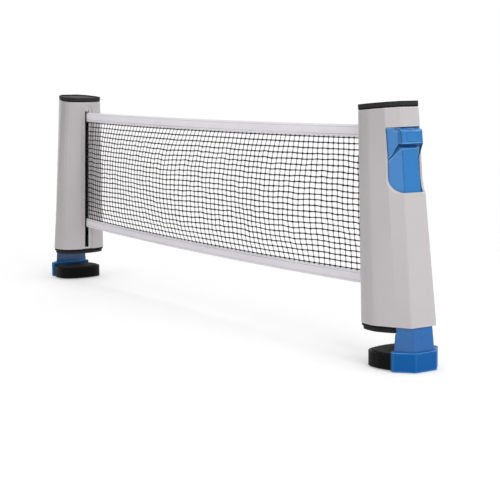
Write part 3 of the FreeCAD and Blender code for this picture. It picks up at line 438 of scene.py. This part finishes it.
def tapeCloth(name, look):    # woven tape: fine ribs along its length, crossing yarns, hems with painted shade beside the stitches and along the fold, and a soft sheen
    material, tree, shader = startMaterial(name, Roughness=0.85, Specular_IOR_Level=0.25, Sheen_Weight=0.25,
                                           Sheen_Roughness=0.5)
    size = addNode(tree, "ShaderNodeMapping", Scale=look["size"])
    tree.links.new(addNode(tree, "ShaderNodeTexCoord").outputs[look["follows"]], size.inputs["Vector"])
    place = size.outputs[0]
    ribs = addNode(tree, "ShaderNodeTexWave", bands_direction="Y", Scale=look["ribScale"],
                   Distortion=weaving["ribWaver"])
    yarns = addNode(tree, "ShaderNodeTexWave", bands_direction="X", Scale=look["yarnScale"],
                    Distortion=weaving["yarnWaver"])
    for wave in (ribs, yarns):
        tree.links.new(place, wave.inputs["Vector"])
    weave = maths(tree, "MULTIPLY", ribs.outputs["Fac"], yarns.outputs["Fac"])
    stain = ranged(tree, noise(tree, place, weaving["stainScale"], 5.0, 0.6), *weaving["stainSpan"])
    color = mixed(tree, stain, (*look["color"], 1), (*look["soiled"], 1))
    half = look["size"][1] / 2
    off = maths(tree, "ABSOLUTE", maths(tree, "SUBTRACT", splitUp(tree, place)["Y"], half))
    beside = maths(tree, "ABSOLUTE", maths(tree, "SUBTRACT", off, look["hemAt"]))
    # painted shade in the dip beside the stitches and along the folded edge
    seam = maths(tree, "MULTIPLY", ranged(tree, beside, *weaving["seamSpan"]), weaving["seamShade"])
    fold = maths(tree, "MULTIPLY", ranged(tree, off, half - weaving["foldWide"], half), weaving["foldShade"])
    shade = maths(tree, "SUBTRACT", ranged(tree, weave, *weaving["weaveSpan"]),
                  maths(tree, "MAXIMUM", seam, fold))
    tree.links.new(toned(tree, color, shade), shader.inputs["Base Color"])
    tree.links.new(bumped(tree, weave, weaving["bump"], weaving["bumpDeep"]), shader.inputs["Normal"])
    return material


def netThread(name, look):    # knitted black thread: slanting strands, a little fuzz, faded patches and lighter strand crests
    material, tree, shader = startMaterial(name, Roughness=0.75, Specular_IOR_Level=0.3, Sheen_Weight=0.05,
                                           Sheen_Roughness=0.6)
    place = objectPlace(tree)
    slant = addNode(tree, "ShaderNodeMapping", Rotation=(0, math.radians(look["slant"]), 0))
    tree.links.new(place, slant.inputs["Vector"])
    strands = addNode(tree, "ShaderNodeTexWave", bands_direction="X", Scale=look["strandScale"],
                      Distortion=look["waver"])
    tree.links.new(slant.outputs[0], strands.inputs["Vector"])
    color, faded = (*look["color"], 1), (*look["faded"], 1)
    fade = ranged(tree, noise(tree, place, look["fadeScale"], 4.0), *look["fadeSpan"])
    tops = ranged(tree, strands.outputs["Fac"], *look["topSpan"])
    tree.links.new(mixed(tree, tops, mixed(tree, fade, color, faded), faded), shader.inputs["Base Color"])
    strand = bumped(tree, strands.outputs["Fac"], look["bump"], look["bumpDeep"])
    tree.links.new(strand, shader.inputs["Normal"])
    return material


cloths = {
    "tape": tapeCloth("whiteTape", {
        "color": (0.975, 0.962, 1.0), "soiled": (0.93, 0.91, 0.96), "follows": "UV",
        "size": (580.0, 11.0, 1.0), "hemAt": 3.3, "ribScale": 0.36, "yarnScale": 0.26}),
    "stitch": tapeCloth("stitchThread", {      # its hem lies far off, so it has none
        "color": (0.80, 0.79, 0.82), "soiled": (0.70, 0.68, 0.70), "follows": "Object",
        "size": (1000.0, 1000.0, 1000.0), "hemAt": 3000.0, "ribScale": 0.9, "yarnScale": 1.1}),
    "net": netThread("netThread", {
        "color": (0.005, 0.005, 0.006), "faded": (0.016, 0.016, 0.018), "strandScale": 900.0,
        "slant": 38, "waver": 2.0, "fadeScale": 160.0, "fadeSpan": (0.35, 0.7),
        "topSpan": (0.2, 0.9, 0.0, 0.45), "bump": 0.5, "bumpDeep": 0.0003}),
}
print("materials made:", len(bpy.data.materials))


def finishFor(node):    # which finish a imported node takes
    for words, material in (
        (("housing",), plastics["housing"]),
        (("top_cap",), plastics["cap"]),
        (("base_plate", "chassis", "anchor"), plastics["base"]),
        (("base_pad", "jaw_pad"), plastics["rubber"]),
        (("clamp_slider",), plastics["blue"]),
        (("clamp_jaw",), plastics["jawBluePaintedShade"]),
        (("jaw_foot",), plastics["shoe"]),
        (("screws",), metals["zinc"]),
        (("spring_guide", "axle"), metals["rod"]),
        (("spring",), metals["springWire"]),
        (("bushes",), plastics["bush"]),
        (("roller",), metals["aluminium"]),
    ):
        if any(word in node for word in words):
            return material
    return cloths["net"]


for word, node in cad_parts.items():
    node.data.materials.clear()
    node.data.materials.append(finishFor(word))


thumb = {
    "hollows": [                                # place and (tilt, turn) of the ball that cuts each hollow
        ((0.3283, 0.0, 0.2040), (-0.993, 0.0)),        # in the block's top edge
        ((0.3249, 0.0133, 0.2032), (0.0, 0.889)),      # and on each wing
        ((0.3249, -0.0133, 0.2032), (0.0, -0.889)),
    ],
    "ball": (0.0017, 0.0038, 0.0017),           # inward, along and across
    "ballSides": 64,
    "ballRings": 40,
    "face": (0.3304, 0, 0.1969),                # the middle of the block's face
    "faceLean": -0.116,
    "outlineHalf": 0.0062,
    "outlineHigh": 0.0036,
    "outlineWide": 0.0003,
    "outlineDeep": 0.0003,
    "merge": 0.000001,
    "sliver": 0.000003,
    "smoothUnder": 7,                           # degrees between faces of one curve
}


def cutAway(piece, cutter):
    cut = piece.modifiers.new("cut", "BOOLEAN")
    cut.operation = "DIFFERENCE"
    cut.solver = "EXACT"
    cut.object = cutter
    applyModifiers(piece)
    bpy.data.objects.remove(cutter)


def makeOutlineBlock(name, deep, wide):
    clearSelection()
    size = (deep * thumb["outlineDeep"], 2 * thumb["outlineHalf"] + wide, 2 * thumb["outlineHigh"] + wide)
    bpy.ops.mesh.primitive_cube_add(size=1, scale=size)
    block = newest(name)
    settle(block)
    return block


def makeOutlineRing():    # the ring that cuts the fine outline, half sunk in the block's face
    ring = makeOutlineBlock("ring", 2, thumb["outlineWide"])
    core = makeOutlineBlock("core", 4, -thumb["outlineWide"])
    cutAway(ring, core)
    ring.rotation_euler[1] = thumb["faceLean"]
    ring.location = thumb["face"]
    settle(ring)
    return ring


def makeSlider():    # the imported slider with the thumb's hollows and the fine outline on its face cut in
    pickOnly(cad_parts["near_clamp_slider"])
    bpy.ops.object.duplicate()
    slider = newest("nearSlider")
    for mark in list(slider.keys()):      # the copy is a piece of its own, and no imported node
        del slider[mark]
    slider.rotation_mode = "XYZ"
    bpy.ops.object.mode_set(mode="EDIT")
    bpy.ops.mesh.select_all(action="SELECT")
    bpy.ops.mesh.remove_doubles(threshold=thumb["merge"])
    bpy.ops.object.mode_set(mode="OBJECT")
    for place, (tilt, turn) in thumb["hollows"]:
        clearSelection()
        bpy.ops.mesh.primitive_uv_sphere_add(segments=thumb["ballSides"], ring_count=thumb["ballRings"],
                                             radius=1, location=place, rotation=(0, tilt, turn),
                                             scale=thumb["ball"])
        ball = newest("ball")
        settle(ball)
        cutAway(slider, ball)
    cutAway(slider, makeOutlineRing())
    bpy.ops.object.mode_set(mode="EDIT")
    bpy.ops.mesh.select_all(action="SELECT")
    bpy.ops.mesh.dissolve_degenerate(threshold=thumb["sliver"])
    bpy.ops.object.mode_set(mode="OBJECT")
    bpy.ops.mesh.customdata_custom_splitnormals_clear()
    bpy.ops.object.shade_smooth_by_angle(angle=math.radians(thumb["smoothUnder"]))
    return slider


nearSlider = makeSlider()
farSlider = turnedRound(nearSlider, "farSlider")
for piece, node, body in ((nearSlider, "near_clamp_slider", "near_clamp"),
                          (farSlider, "far_clamp_slider", "far_clamp")):
    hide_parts(node)
    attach(piece, body)
print("sliders made")


hood = {
    "back": 0.3255,                             # the lip under the thumb block, on the near post
    "front": 0.3303,
    "low": 0.1880,
    "high": 0.1917,
    "half": 0.0115,
    "frontRise": 0.85,                          # share of the height by which its front edge is lifted
    "tip": (0.3189, 0.0166, 0.1778),            # where it dies out on the wing
    "tipSize": 0.18,
    "soft": 0.0002,
    "endReach": 0.0001,
}


def makeHoodLip():    # a lip under the block in a dark blue of painted shade, running down each wing as a thin cheek
    clearSelection()
    centre = Vector(((hood["back"] + hood["front"]) / 2, 0, (hood["low"] + hood["high"]) / 2))
    size = Vector((hood["front"] - hood["back"], 2 * hood["half"], hood["high"] - hood["low"]))
    bpy.ops.mesh.primitive_cube_add(size=1, location=centre, scale=size)
    lip = newest("nearHoodLip")
    settle(lip)
    bpy.ops.object.mode_set(mode="EDIT")
    chooseVerts(lip, lambda co: co.x > centre.x and co.z < centre.z)
    bpy.ops.transform.translate(value=(0, 0, hood["frontRise"] * size.z))
    for side in (-1, 1):
        chooseVerts(lip, lambda co: side * co.y > hood["half"] - hood["endReach"])
        bpy.ops.mesh.select_mode(type="FACE")
        end = Vector((centre.x, side * hood["half"], centre.z))
        tip = Vector((hood["tip"][0], side * hood["tip"][1], hood["tip"][2]))
        bpy.ops.mesh.extrude_region_move(TRANSFORM_OT_translate={"value": tip - end})
        bpy.ops.transform.resize(value=(hood["tipSize"],) * 3, center_override=tip)
    bpy.ops.mesh.select_all(action="SELECT")
    bpy.ops.mesh.normals_make_consistent(inside=False)
    bpy.ops.object.mode_set(mode="OBJECT")
    soften(lip, hood["soft"])
    lip.data.materials.append(plastics["hoodShade"])
    return lip


nearHoodLip = makeHoodLip()
farHoodLip = turnedRound(nearHoodLip, "farHoodLip")
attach(nearHoodLip, "near_clamp")
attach(farHoodLip, "far_clamp")
print("hood lips made")


slotEnd = {
    "face": 0.2776,                             # just behind the post's flat back, above the net
    "middle": 0.2090,
    "radius": 0.00237,
    "sides": 28,
    "deep": 0.0022,
    "rim": 0.0005,
    "press": 0.00025,                           # how far the face lies inside its rim
    "soft": 0.00012,
}


def makeSlotEnd():    # rounded stop that closes the slot above the net
    clearSelection()
    centre = Vector((slotEnd["face"] + slotEnd["deep"] / 2, 0, slotEnd["middle"]))
    bpy.ops.mesh.primitive_cylinder_add(vertices=slotEnd["sides"], radius=slotEnd["radius"],
                                        depth=slotEnd["deep"], location=centre, rotation=(0, math.pi / 2, 0))
    stop = newest("nearSlotEnd")
    settle(stop)
    bpy.ops.object.mode_set(mode="EDIT")
    chooseVerts(stop, lambda co: co.x < centre.x)
    bpy.ops.mesh.select_mode(type="FACE")
    bpy.ops.mesh.inset(thickness=slotEnd["rim"])
    bpy.ops.transform.translate(value=(slotEnd["press"], 0, 0))
    bpy.ops.object.mode_set(mode="OBJECT")
    soften(stop, slotEnd["soft"])
    stop.data.materials.append(plastics["housing"])
    return stop


nearSlotEnd = makeSlotEnd()
farSlotEnd = turnedRound(nearSlotEnd, "farSlotEnd")
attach(nearSlotEnd, "near_post")
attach(farSlotEnd, "far_post")
print("slot ends made")


net = {
    "foot": 0.065,                              # lowest and highest edge at the posts
    "top": 0.2058,
    "footSag": 0.0036,
    "topSag": 0.0018,
    "span": 0.572,
    "nearEnd": 0.2902,                          # x of the ends at the base of the posts
    "farEnd": -0.2901,
    "lean": 0.0570953,
    "leanFrom": 0.0376,
    "halfBox": 0.29,                            # half the plain box that it is made in
    "cagePoints": (25, 2, 11),
    "cageDeep": 0.06,
    "tapeHigh": 0.011,
    "columns": 76,
    "rows": 23,
    "rowsInside": 0.0009,                       # from the tape's edge to the first row
    "rowThread": 0.00062,
    "columnThread": 0.00036,
    "threadSides": 5,
    "waist": 0.86,                              # a thread is thinner between its knots
    "knot": 0.00112,
    "knotShape": (1.45, 0.9, 0.95),
    "weld": 0.00003,
    "bow": 0.0115,                              # how far the columns bow toward the far post
    "shear": 0.0150,                            # and lean, top against foot
    "belly": -0.0130,                           # the slack mesh bellies out sideways
    "slack": (0.75, -0.35),                     # how slack it is at mid length, and how that changes
    "looseFrom": 0.022,                         # this far from its held edges it sways freely
    "endShare": 1.2,
    "sways": (                                  # name, size and depth of the clouds, direction, strength
        ("netBillow", 0.10, 1, "Y", 0.007),
        ("netDrift", 0.085, 1, "X", 0.005),
        ("netDroop", 0.10, 1, "Z", 0.004),
        ("netPucker", 0.010, 0, "X", 0.0016),
        ("netRipple", 0.012, 0, "Z", 0.0014),
    ),
}


def netPlace(share, z):    # where a point of the plain box lies once the net hangs between the posts
    up = (z - net["foot"]) / (net["top"] - net["foot"])
    sag = net["footSag"] + up * (net["topSag"] - net["footSag"])
    near = net["nearEnd"] - net["lean"] * (z - net["leanFrom"])
    far = net["farEnd"] + net["lean"] * (z - net["leanFrom"])
    x = far + (share + 1) / 2 * (near - far)
    hump = 4 * up * (1 - up)
    loose = (1 - abs(share) ** 3) * (net["slack"][0] + net["slack"][1] * share)
    drift = (net["shear"] * (up - 0.5) - net["bow"] * hump) * loose
    return x + drift, net["belly"] * hump * loose, z - sag * (1 - (2 * x / net["span"]) ** 2)


def netCage():    # lattice that draws a plain box into the net's place
    clearSelection()
    high = net["top"] - net["foot"]
    bpy.ops.object.add(type="LATTICE", location=(0, 0, net["foot"] + high / 2))
    cage = newest("netCage")
    cage.scale = (2 * net["halfBox"], net["cageDeep"], high)
    along, deep, upward = net["cagePoints"]
    cage.data.points_u, cage.data.points_v, cage.data.points_w = along, deep, upward
    for way in ("u", "v", "w"):
        setattr(cage.data, f"interpolation_type_{way}", "KEY_LINEAR")
    for number, point in enumerate(cage.data.points):
        share = number % along / (along - 1) * 2 - 1
        up = number // (along * deep) / (upward - 1)
        x, y, z = netPlace(share, net["foot"] + up * high)
        point.co_deform.x = x / cage.scale.x
        point.co_deform.y += y / cage.scale.y
        point.co_deform.z = (z - cage.location.z) / high
    bpy.context.view_layer.update()
    return cage


cage = netCage()


def drawIntoPlace(piece):
    pull = piece.modifiers.new("draw", "LATTICE")
    pull.object = cage
    applyModifiers(piece)


def clouds(name, size, depth=1):
    texture = bpy.data.textures.new(name, "CLOUDS")
    texture.noise_scale = size
    texture.noise_depth = depth
    return texture


def sway(piece, texture, direction, strength, group=""):
    wave = piece.modifiers.new("sway", "DISPLACE")
    wave.texture = texture
    wave.texture_coords = "GLOBAL"
    wave.direction = direction
    wave.strength = strength
    wave.mid_level = 0.5
    wave.vertex_group = group


def makeThreadBit(name, radius, long, turn, spot):    # a short tube, thinner in its middle
    clearSelection()
    bpy.ops.mesh.primitive_cylinder_add(vertices=net["threadSides"], radius=radius, depth=long,
                                        end_fill_type="NOTHING", location=spot, rotation=turn)
    bit = newest(name)
    settle(bit)
    way = 0 if name == "rowBit" else 2      # the axis that it runs along
    bpy.ops.object.mode_set(mode="EDIT")
    bpy.ops.mesh.select_all(action="SELECT")
    bpy.ops.mesh.bisect(plane_co=spot, plane_no=[float(number == way) for number in range(3)])
    chooseVerts(bit, lambda co: abs(co[way] - spot[way]) < 1e-5)
    bpy.ops.transform.resize(value=[1.0 if number == way else net["waist"] for number in range(3)],
                             center_override=spot)
    bpy.ops.object.mode_set(mode="OBJECT")
    return bit


def makeKnot(spot):
    clearSelection()
    bpy.ops.mesh.primitive_ico_sphere_add(subdivisions=1, radius=net["knot"], location=spot)
    knot = newest("knot")
    bpy.ops.object.mode_set(mode="EDIT")
    bpy.ops.transform.resize(value=net["knotShape"], center_override=spot)
    bpy.ops.object.mode_set(mode="OBJECT")
    settle(knot)
    return knot


def repeat(piece, count, step):
    many = piece.modifiers.new("many", "ARRAY")
    many.use_relative_offset = False
    many.use_constant_offset = True
    many.constant_offset_displace = step
    many.count = count
    many.use_merge_vertices = True
    many.merge_threshold = net["weld"]


def slackGroup(piece):    # the mesh sways freely away from the tapes and the posts
    loose = piece.vertex_groups.new(name="loose")
    low, high = net["foot"] + net["tapeHigh"], net["top"] - net["tapeHigh"]
    byWeight = {}
    for vertex in piece.data.vertices:
        ends = net["endShare"] * (net["halfBox"] - abs(vertex.co.x))
        inside = min(vertex.co.z - low, high - vertex.co.z, ends)
        weight = round(max(0.0, min(1.0, inside / net["looseFrom"])), 2)
        byWeight.setdefault(weight, []).append(vertex.index)
    for weight, which in byWeight.items():
        loose.add(which, weight, "REPLACE")


def makeNetMesh():    # a bit of row, a bit of column and the knot where they cross, repeated and joined
    columns, rows = net["columns"], net["rows"]
    stepX = 2 * net["halfBox"] / (columns - 1)
    stepZ = (net["top"] - net["foot"] - 2 * net["tapeHigh"] - 2 * net["rowsInside"]) / (rows - 1)
    left, foot = -net["halfBox"], net["foot"] + net["tapeHigh"] + net["rowsInside"]
    rowBit = makeThreadBit("rowBit", net["rowThread"], stepX, (0, math.pi / 2, 0),
                           (left + stepX / 2, 0, foot))
    columnBit = makeThreadBit("columnBit", net["columnThread"], stepZ, (0, 0, 0),
                              (left, 0, foot + stepZ / 2))
    knot = makeKnot((left, 0, foot))
    for piece, wide, high in ((rowBit, columns - 1, rows), (columnBit, columns, rows - 1),
                              (knot, columns, rows)):
        repeat(piece, wide, (stepX, 0, 0))
        repeat(piece, high, (0, 0, stepZ))
        applyModifiers(piece)
    netMesh = joinAll([rowBit, columnBit, knot], "netMesh")
    bpy.ops.object.mode_set(mode="EDIT")
    bpy.ops.mesh.select_all(action="SELECT")
    bpy.ops.mesh.fill_holes(sides=net["threadSides"])
    bpy.ops.mesh.select_all(action="SELECT")
    bpy.ops.mesh.normals_make_consistent(inside=False)
    bpy.ops.object.mode_set(mode="OBJECT")
    slackGroup(netMesh)
    for name, size, depth, direction, strength in net["sways"]:
        sway(netMesh, clouds(name, size, depth), direction, strength, "loose")
    drawIntoPlace(netMesh)
    pickOnly(netMesh)
    bpy.ops.object.shade_smooth()
    netMesh.data.materials.append(cloths["net"])
    return netMesh


netMesh = makeNetMesh()
print("net mesh:", len(netMesh.data.polygons), "faces")


tape = {
    "cuts": 120,
    "lines": 8,
    "thick": 0.0013,
    "seam": 0.0022,                             # stitch line, from the tape's open edge
    "seamReach": 0.0008,
    "seamPinch": 0.55,
    "foldReach": 0.0004,
    "foldPinch": 0.45,
    "waveSize": 0.07,
    "wave": 0.0012,
    "stitchLong": 0.0024,
    "stitchStep": 0.0036,
    "stitchThick": 0.00024,
    "stitchOut": 0.36,                          # from the tape's middle, as a share of its thickness
}


def makeTape(name, low, openSide):    # folded: the fold on its outer edge, pinched where it is sewn
    clearSelection()
    middle = low + net["tapeHigh"] / 2
    bpy.ops.mesh.primitive_grid_add(x_subdivisions=tape["cuts"], y_subdivisions=tape["lines"], size=1,
                                    location=(0, 0, middle), rotation=(math.pi / 2, 0, 0))
    piece = newest(name)
    piece.scale = (2 * net["halfBox"], net["tapeHigh"], 1)
    settle(piece)
    wall = piece.modifiers.new("wall", "SOLIDIFY")
    wall.thickness = tape["thick"]
    wall.offset = 0
    applyModifiers(piece)
    seam = middle + openSide * net["tapeHigh"] / 2 - openSide * tape["seam"]
    fold = middle - openSide * net["tapeHigh"] / 2
    bpy.ops.object.mode_set(mode="EDIT")
    for edge, reach, pinch in ((seam, tape["seamReach"], tape["seamPinch"]),
                               (fold, tape["foldReach"], tape["foldPinch"])):
        chooseVerts(piece, lambda co: abs(co.z - edge) < reach)
        bpy.ops.transform.resize(value=(1, pinch, 1), center_override=(0, 0, edge))
    bpy.ops.object.mode_set(mode="OBJECT")
    sway(piece, clouds(name + "Wave", tape["waveSize"]), "Y", tape["wave"])
    smooth = piece.modifiers.new("smooth", "SUBSURF")
    smooth.levels = smooth.render_levels = 1
    applyModifiers(piece)
    drawIntoPlace(piece)
    pickOnly(piece)
    bpy.ops.object.shade_smooth()
    piece.data.materials.append(cloths["tape"])
    return piece


def makeStitches(name, low, openSide):    # a row of stitches on each face of a tape
    z = low + net["tapeHigh"] / 2 + openSide * (net["tapeHigh"] / 2 - tape["seam"])
    rows = []
    for side in (-1, 1):
        spot = (-net["halfBox"] + tape["stitchStep"], side * tape["thick"] * tape["stitchOut"], z)
        clearSelection()
        bpy.ops.mesh.primitive_ico_sphere_add(subdivisions=1, radius=tape["stitchThick"], location=spot)
        stitch = newest("stitch")
        settle(stitch)
        bpy.ops.object.mode_set(mode="EDIT")
        chooseVerts(stitch, lambda co: co.x > spot[0] + 1e-6)
        bpy.ops.transform.translate(value=(tape["stitchLong"], 0, 0))
        bpy.ops.object.mode_set(mode="OBJECT")
        repeat(stitch, int(2 * net["halfBox"] / tape["stitchStep"]) - 2, (tape["stitchStep"], 0, 0))
        applyModifiers(stitch)
        rows.append(stitch)
    piece = joinAll(rows, name)
    drawIntoPlace(piece)
    pickOnly(piece)
    bpy.ops.object.shade_smooth()
    piece.data.materials.append(cloths["stitch"])
    return piece


topTape = makeTape("topTape", net["top"] - net["tapeHigh"], -1)
footTape = makeTape("footTape", net["foot"], 1)
topStitches = makeStitches("topStitches", net["top"] - net["tapeHigh"], -1)
footStitches = makeStitches("footStitches", net["foot"], 1)
print("tapes and stitches made")

for piece, finish in ((netMesh, "net"), (topTape, "band"), (footTape, "band"), (topStitches, "band"),
                      (footStitches, "band")):
    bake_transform(piece)
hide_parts("net_mesh")
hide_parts("net_top_band")
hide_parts("net_bottom_band")
bpy.data.objects.remove(cage)


studio = {
    "white": (1.0, 1.0, 1.0, 1),
    "fill": 0.47,
    "floorHalf": 6.0,
    "floorDrop": 0.0005,
    "floorCuts": 7,
    "floorColor": (0.76, 0.76, 0.76, 1),
    "floorPale": (0.78, 0.78, 0.78, 1),
    "grainScale": 30.0,
    "grainSpan": (0.3, 0.7),
    "lift": 0.32,                               # brings the lit floor up to white and leaves the shadow
    "fadeSpan": (0.45, 1.3),                    # from here out the floor turns into plain white
}


def seenRays(tree):    # what the camera sees, also in a reflection or through something clear
    rays = addNode(tree, "ShaderNodeLightPath").outputs
    seen = maths(tree, "MAXIMUM", rays["Is Camera Ray"], rays["Is Glossy Ray"])
    return maths(tree, "MAXIMUM", seen, rays["Is Transmission Ray"])


def showMix(tree, share, first, second, end="Material Output"):
    either = addNode(tree, "ShaderNodeMixShader")
    for number, link in enumerate((share, first, second)):
        tree.links.new(link, either.inputs[number])
    tree.links.new(either.outputs[0], tree.nodes[end].inputs["Surface"])


def makeFloor():
    clearSelection()
    bpy.ops.mesh.primitive_plane_add(size=2 * studio["floorHalf"], location=(0, 0, -studio["floorDrop"]))
    floor = newest("studioFloor")
    bpy.ops.object.mode_set(mode="EDIT")
    bpy.ops.mesh.subdivide(number_cuts=studio["floorCuts"])
    bpy.ops.object.mode_set(mode="OBJECT")
    settle(floor)
    material, tree, shader = startMaterial("paleFloor", Roughness=0.9, Specular_IOR_Level=0.1,
                                           Emission_Color=studio["white"])
    place = objectPlace(tree)
    grain = ranged(tree, noise(tree, place, studio["grainScale"], 3.0), *studio["grainSpan"])
    tree.links.new(mixed(tree, grain, studio["floorColor"], studio["floorPale"]), shader.inputs["Base Color"])
    seen = seenRays(tree)
    tree.links.new(maths(tree, "MULTIPLY", seen, studio["lift"]), shader.inputs["Emission Strength"])
    fade = ranged(tree, vectorMaths(tree, "LENGTH", place), *studio["fadeSpan"])
    glow = addNode(tree, "ShaderNodeEmission", Color=studio["white"], Strength=1.0)
    showMix(tree, maths(tree, "MULTIPLY", fade, seen), shader.outputs[0], glow.outputs[0])
    floor.data.materials.append(material)


def makeWorld():
    world = bpy.data.worlds.new("studio")
    bpy.context.scene.world = world
    world.use_nodes = True
    tree = world.node_tree
    plain = tree.nodes["Background"]
    plain.inputs["Color"].default_value = studio["white"]
    plain.inputs["Strength"].default_value = studio["fill"]
    white = addNode(tree, "ShaderNodeBackground", Color=studio["white"], Strength=1.0)
    showMix(tree, seenRays(tree), plain.outputs[0], white.outputs[0], "World Output")


lamps = {
    "keySoft": {"place": (1.70, -0.30, 1.00), "at": (0.29, 0, 0.13), "size": 1.1, "power": 15.0,
                "shiny": False, "tint": (0.985, 0.985, 1.0)},
    "leftSoft": {"place": (0.0, -2.5, 0.9), "at": (0.1, 0, 0.12), "size": 1.7, "power": 7.2,
                 "shiny": False, "tint": (1.0, 0.955, 0.945)},
    "rightSoft": {"place": (2.0, 1.3, 0.9), "at": (0.2, 0, 0.12), "size": 1.6, "power": 8.0,
                  "shiny": False, "tint": (0.985, 0.985, 1.0)},
    "backSoft": {"place": (-2.1, 0.6, 1.1), "at": (-0.2, 0, 0.12), "size": 1.5, "power": 14.0,
                 "shiny": False, "tint": (1.0, 1.0, 1.0)},
    "topSoft": {"place": (0.1, 0.1, 2.2), "at": (0.0, 0, 0.1), "size": 1.0, "power": 8.0,
                "shiny": True, "tint": (1.0, 1.0, 1.0)},
}


def makeLamp(name, lamp):
    clearSelection()
    place = Vector(lamp["place"])
    bpy.ops.object.light_add(type="AREA", location=place)
    light = newest(name)
    light.data.size = lamp["size"]
    light.data.energy = lamp["power"]
    light.data.color = lamp["tint"]
    light.visible_glossy = lamp["shiny"]
    light.rotation_euler = (Vector(lamp["at"]) - place).to_track_quat("-Z", "Y").to_euler()


flagMiddle = 0.2                                # x of the axis that the flags go round
flags = {                                       # degrees round from the outer side of the near post
    "cameraFlag": {"radius": 3.4, "high": 2.6, "from": -38.0, "to": 78.0},
    "sideFlag": {"radius": 3.5, "high": 2.6, "from": -172.0, "to": -77.0},
}


def makeFlag(name, flag):
    # a dark cloth out of the picture: it shows only in reflections, as dark lines along rounded edges
    clearSelection()
    bpy.ops.mesh.primitive_cylinder_add(vertices=90, radius=flag["radius"], depth=flag["high"],
                                        end_fill_type="NOTHING", location=(flagMiddle, 0, flag["high"] / 2))
    cloth = newest(name)
    settle(cloth)

    def outside(co):
        return not flag["from"] < math.degrees(math.atan2(co.y, co.x - flagMiddle)) < flag["to"]

    bpy.ops.object.mode_set(mode="EDIT")
    chooseVerts(cloth, outside)
    bpy.ops.mesh.delete(type="VERT")
    bpy.ops.object.mode_set(mode="OBJECT")
    material, tree, shader = startMaterial(name + "Cloth", Base_Color=(0.02, 0.02, 0.02, 1), Roughness=1.0,
                                           Specular_IOR_Level=0.0)
    clear = addNode(tree, "ShaderNodeBsdfTransparent")
    rays = addNode(tree, "ShaderNodeLightPath")
    showMix(tree, rays.outputs["Is Glossy Ray"], clear.outputs[0], shader.outputs[0])
    cloth.data.materials.append(material)


view = {
    "place": (1.18485, -0.72499, 0.25015),
    "yaw": 33.295,                              # degrees from the net's own direction
    "pitch": 7.556,
    "roll": -0.514,
    "lens": 95.43,
    "sensor": 36,
    "nearest": 0.05,
}


def makeCamera():
    clearSelection()
    bpy.ops.object.camera_add(location=view["place"])
    camera = newest("photoView")
    yaw, pitch, roll = (math.radians(view[word]) for word in ("yaw", "pitch", "roll"))
    ahead = Vector((-math.cos(yaw) * math.cos(pitch), math.sin(yaw) * math.cos(pitch), -math.sin(pitch)))
    right = ahead.cross(Vector((0, 0, 1))).normalized()
    up = right.cross(ahead)
    tiltedRight = math.cos(roll) * right + math.sin(roll) * up
    tiltedUp = math.cos(roll) * up - math.sin(roll) * right
    camera.rotation_euler = Matrix((tiltedRight, tiltedUp, -ahead)).transposed().to_euler()
    camera.data.lens = view["lens"]
    camera.data.sensor_width = view["sensor"]
    camera.data.clip_start = view["nearest"]
    bpy.context.scene.camera = camera


makeFloor()
for word, flag in flags.items():
    makeFlag(word, flag)
makeWorld()
for word, lamp in lamps.items():
    makeLamp(word, lamp)
makeCamera()
bpy.context.scene.view_settings.view_transform = "Standard"
print("studio ready")
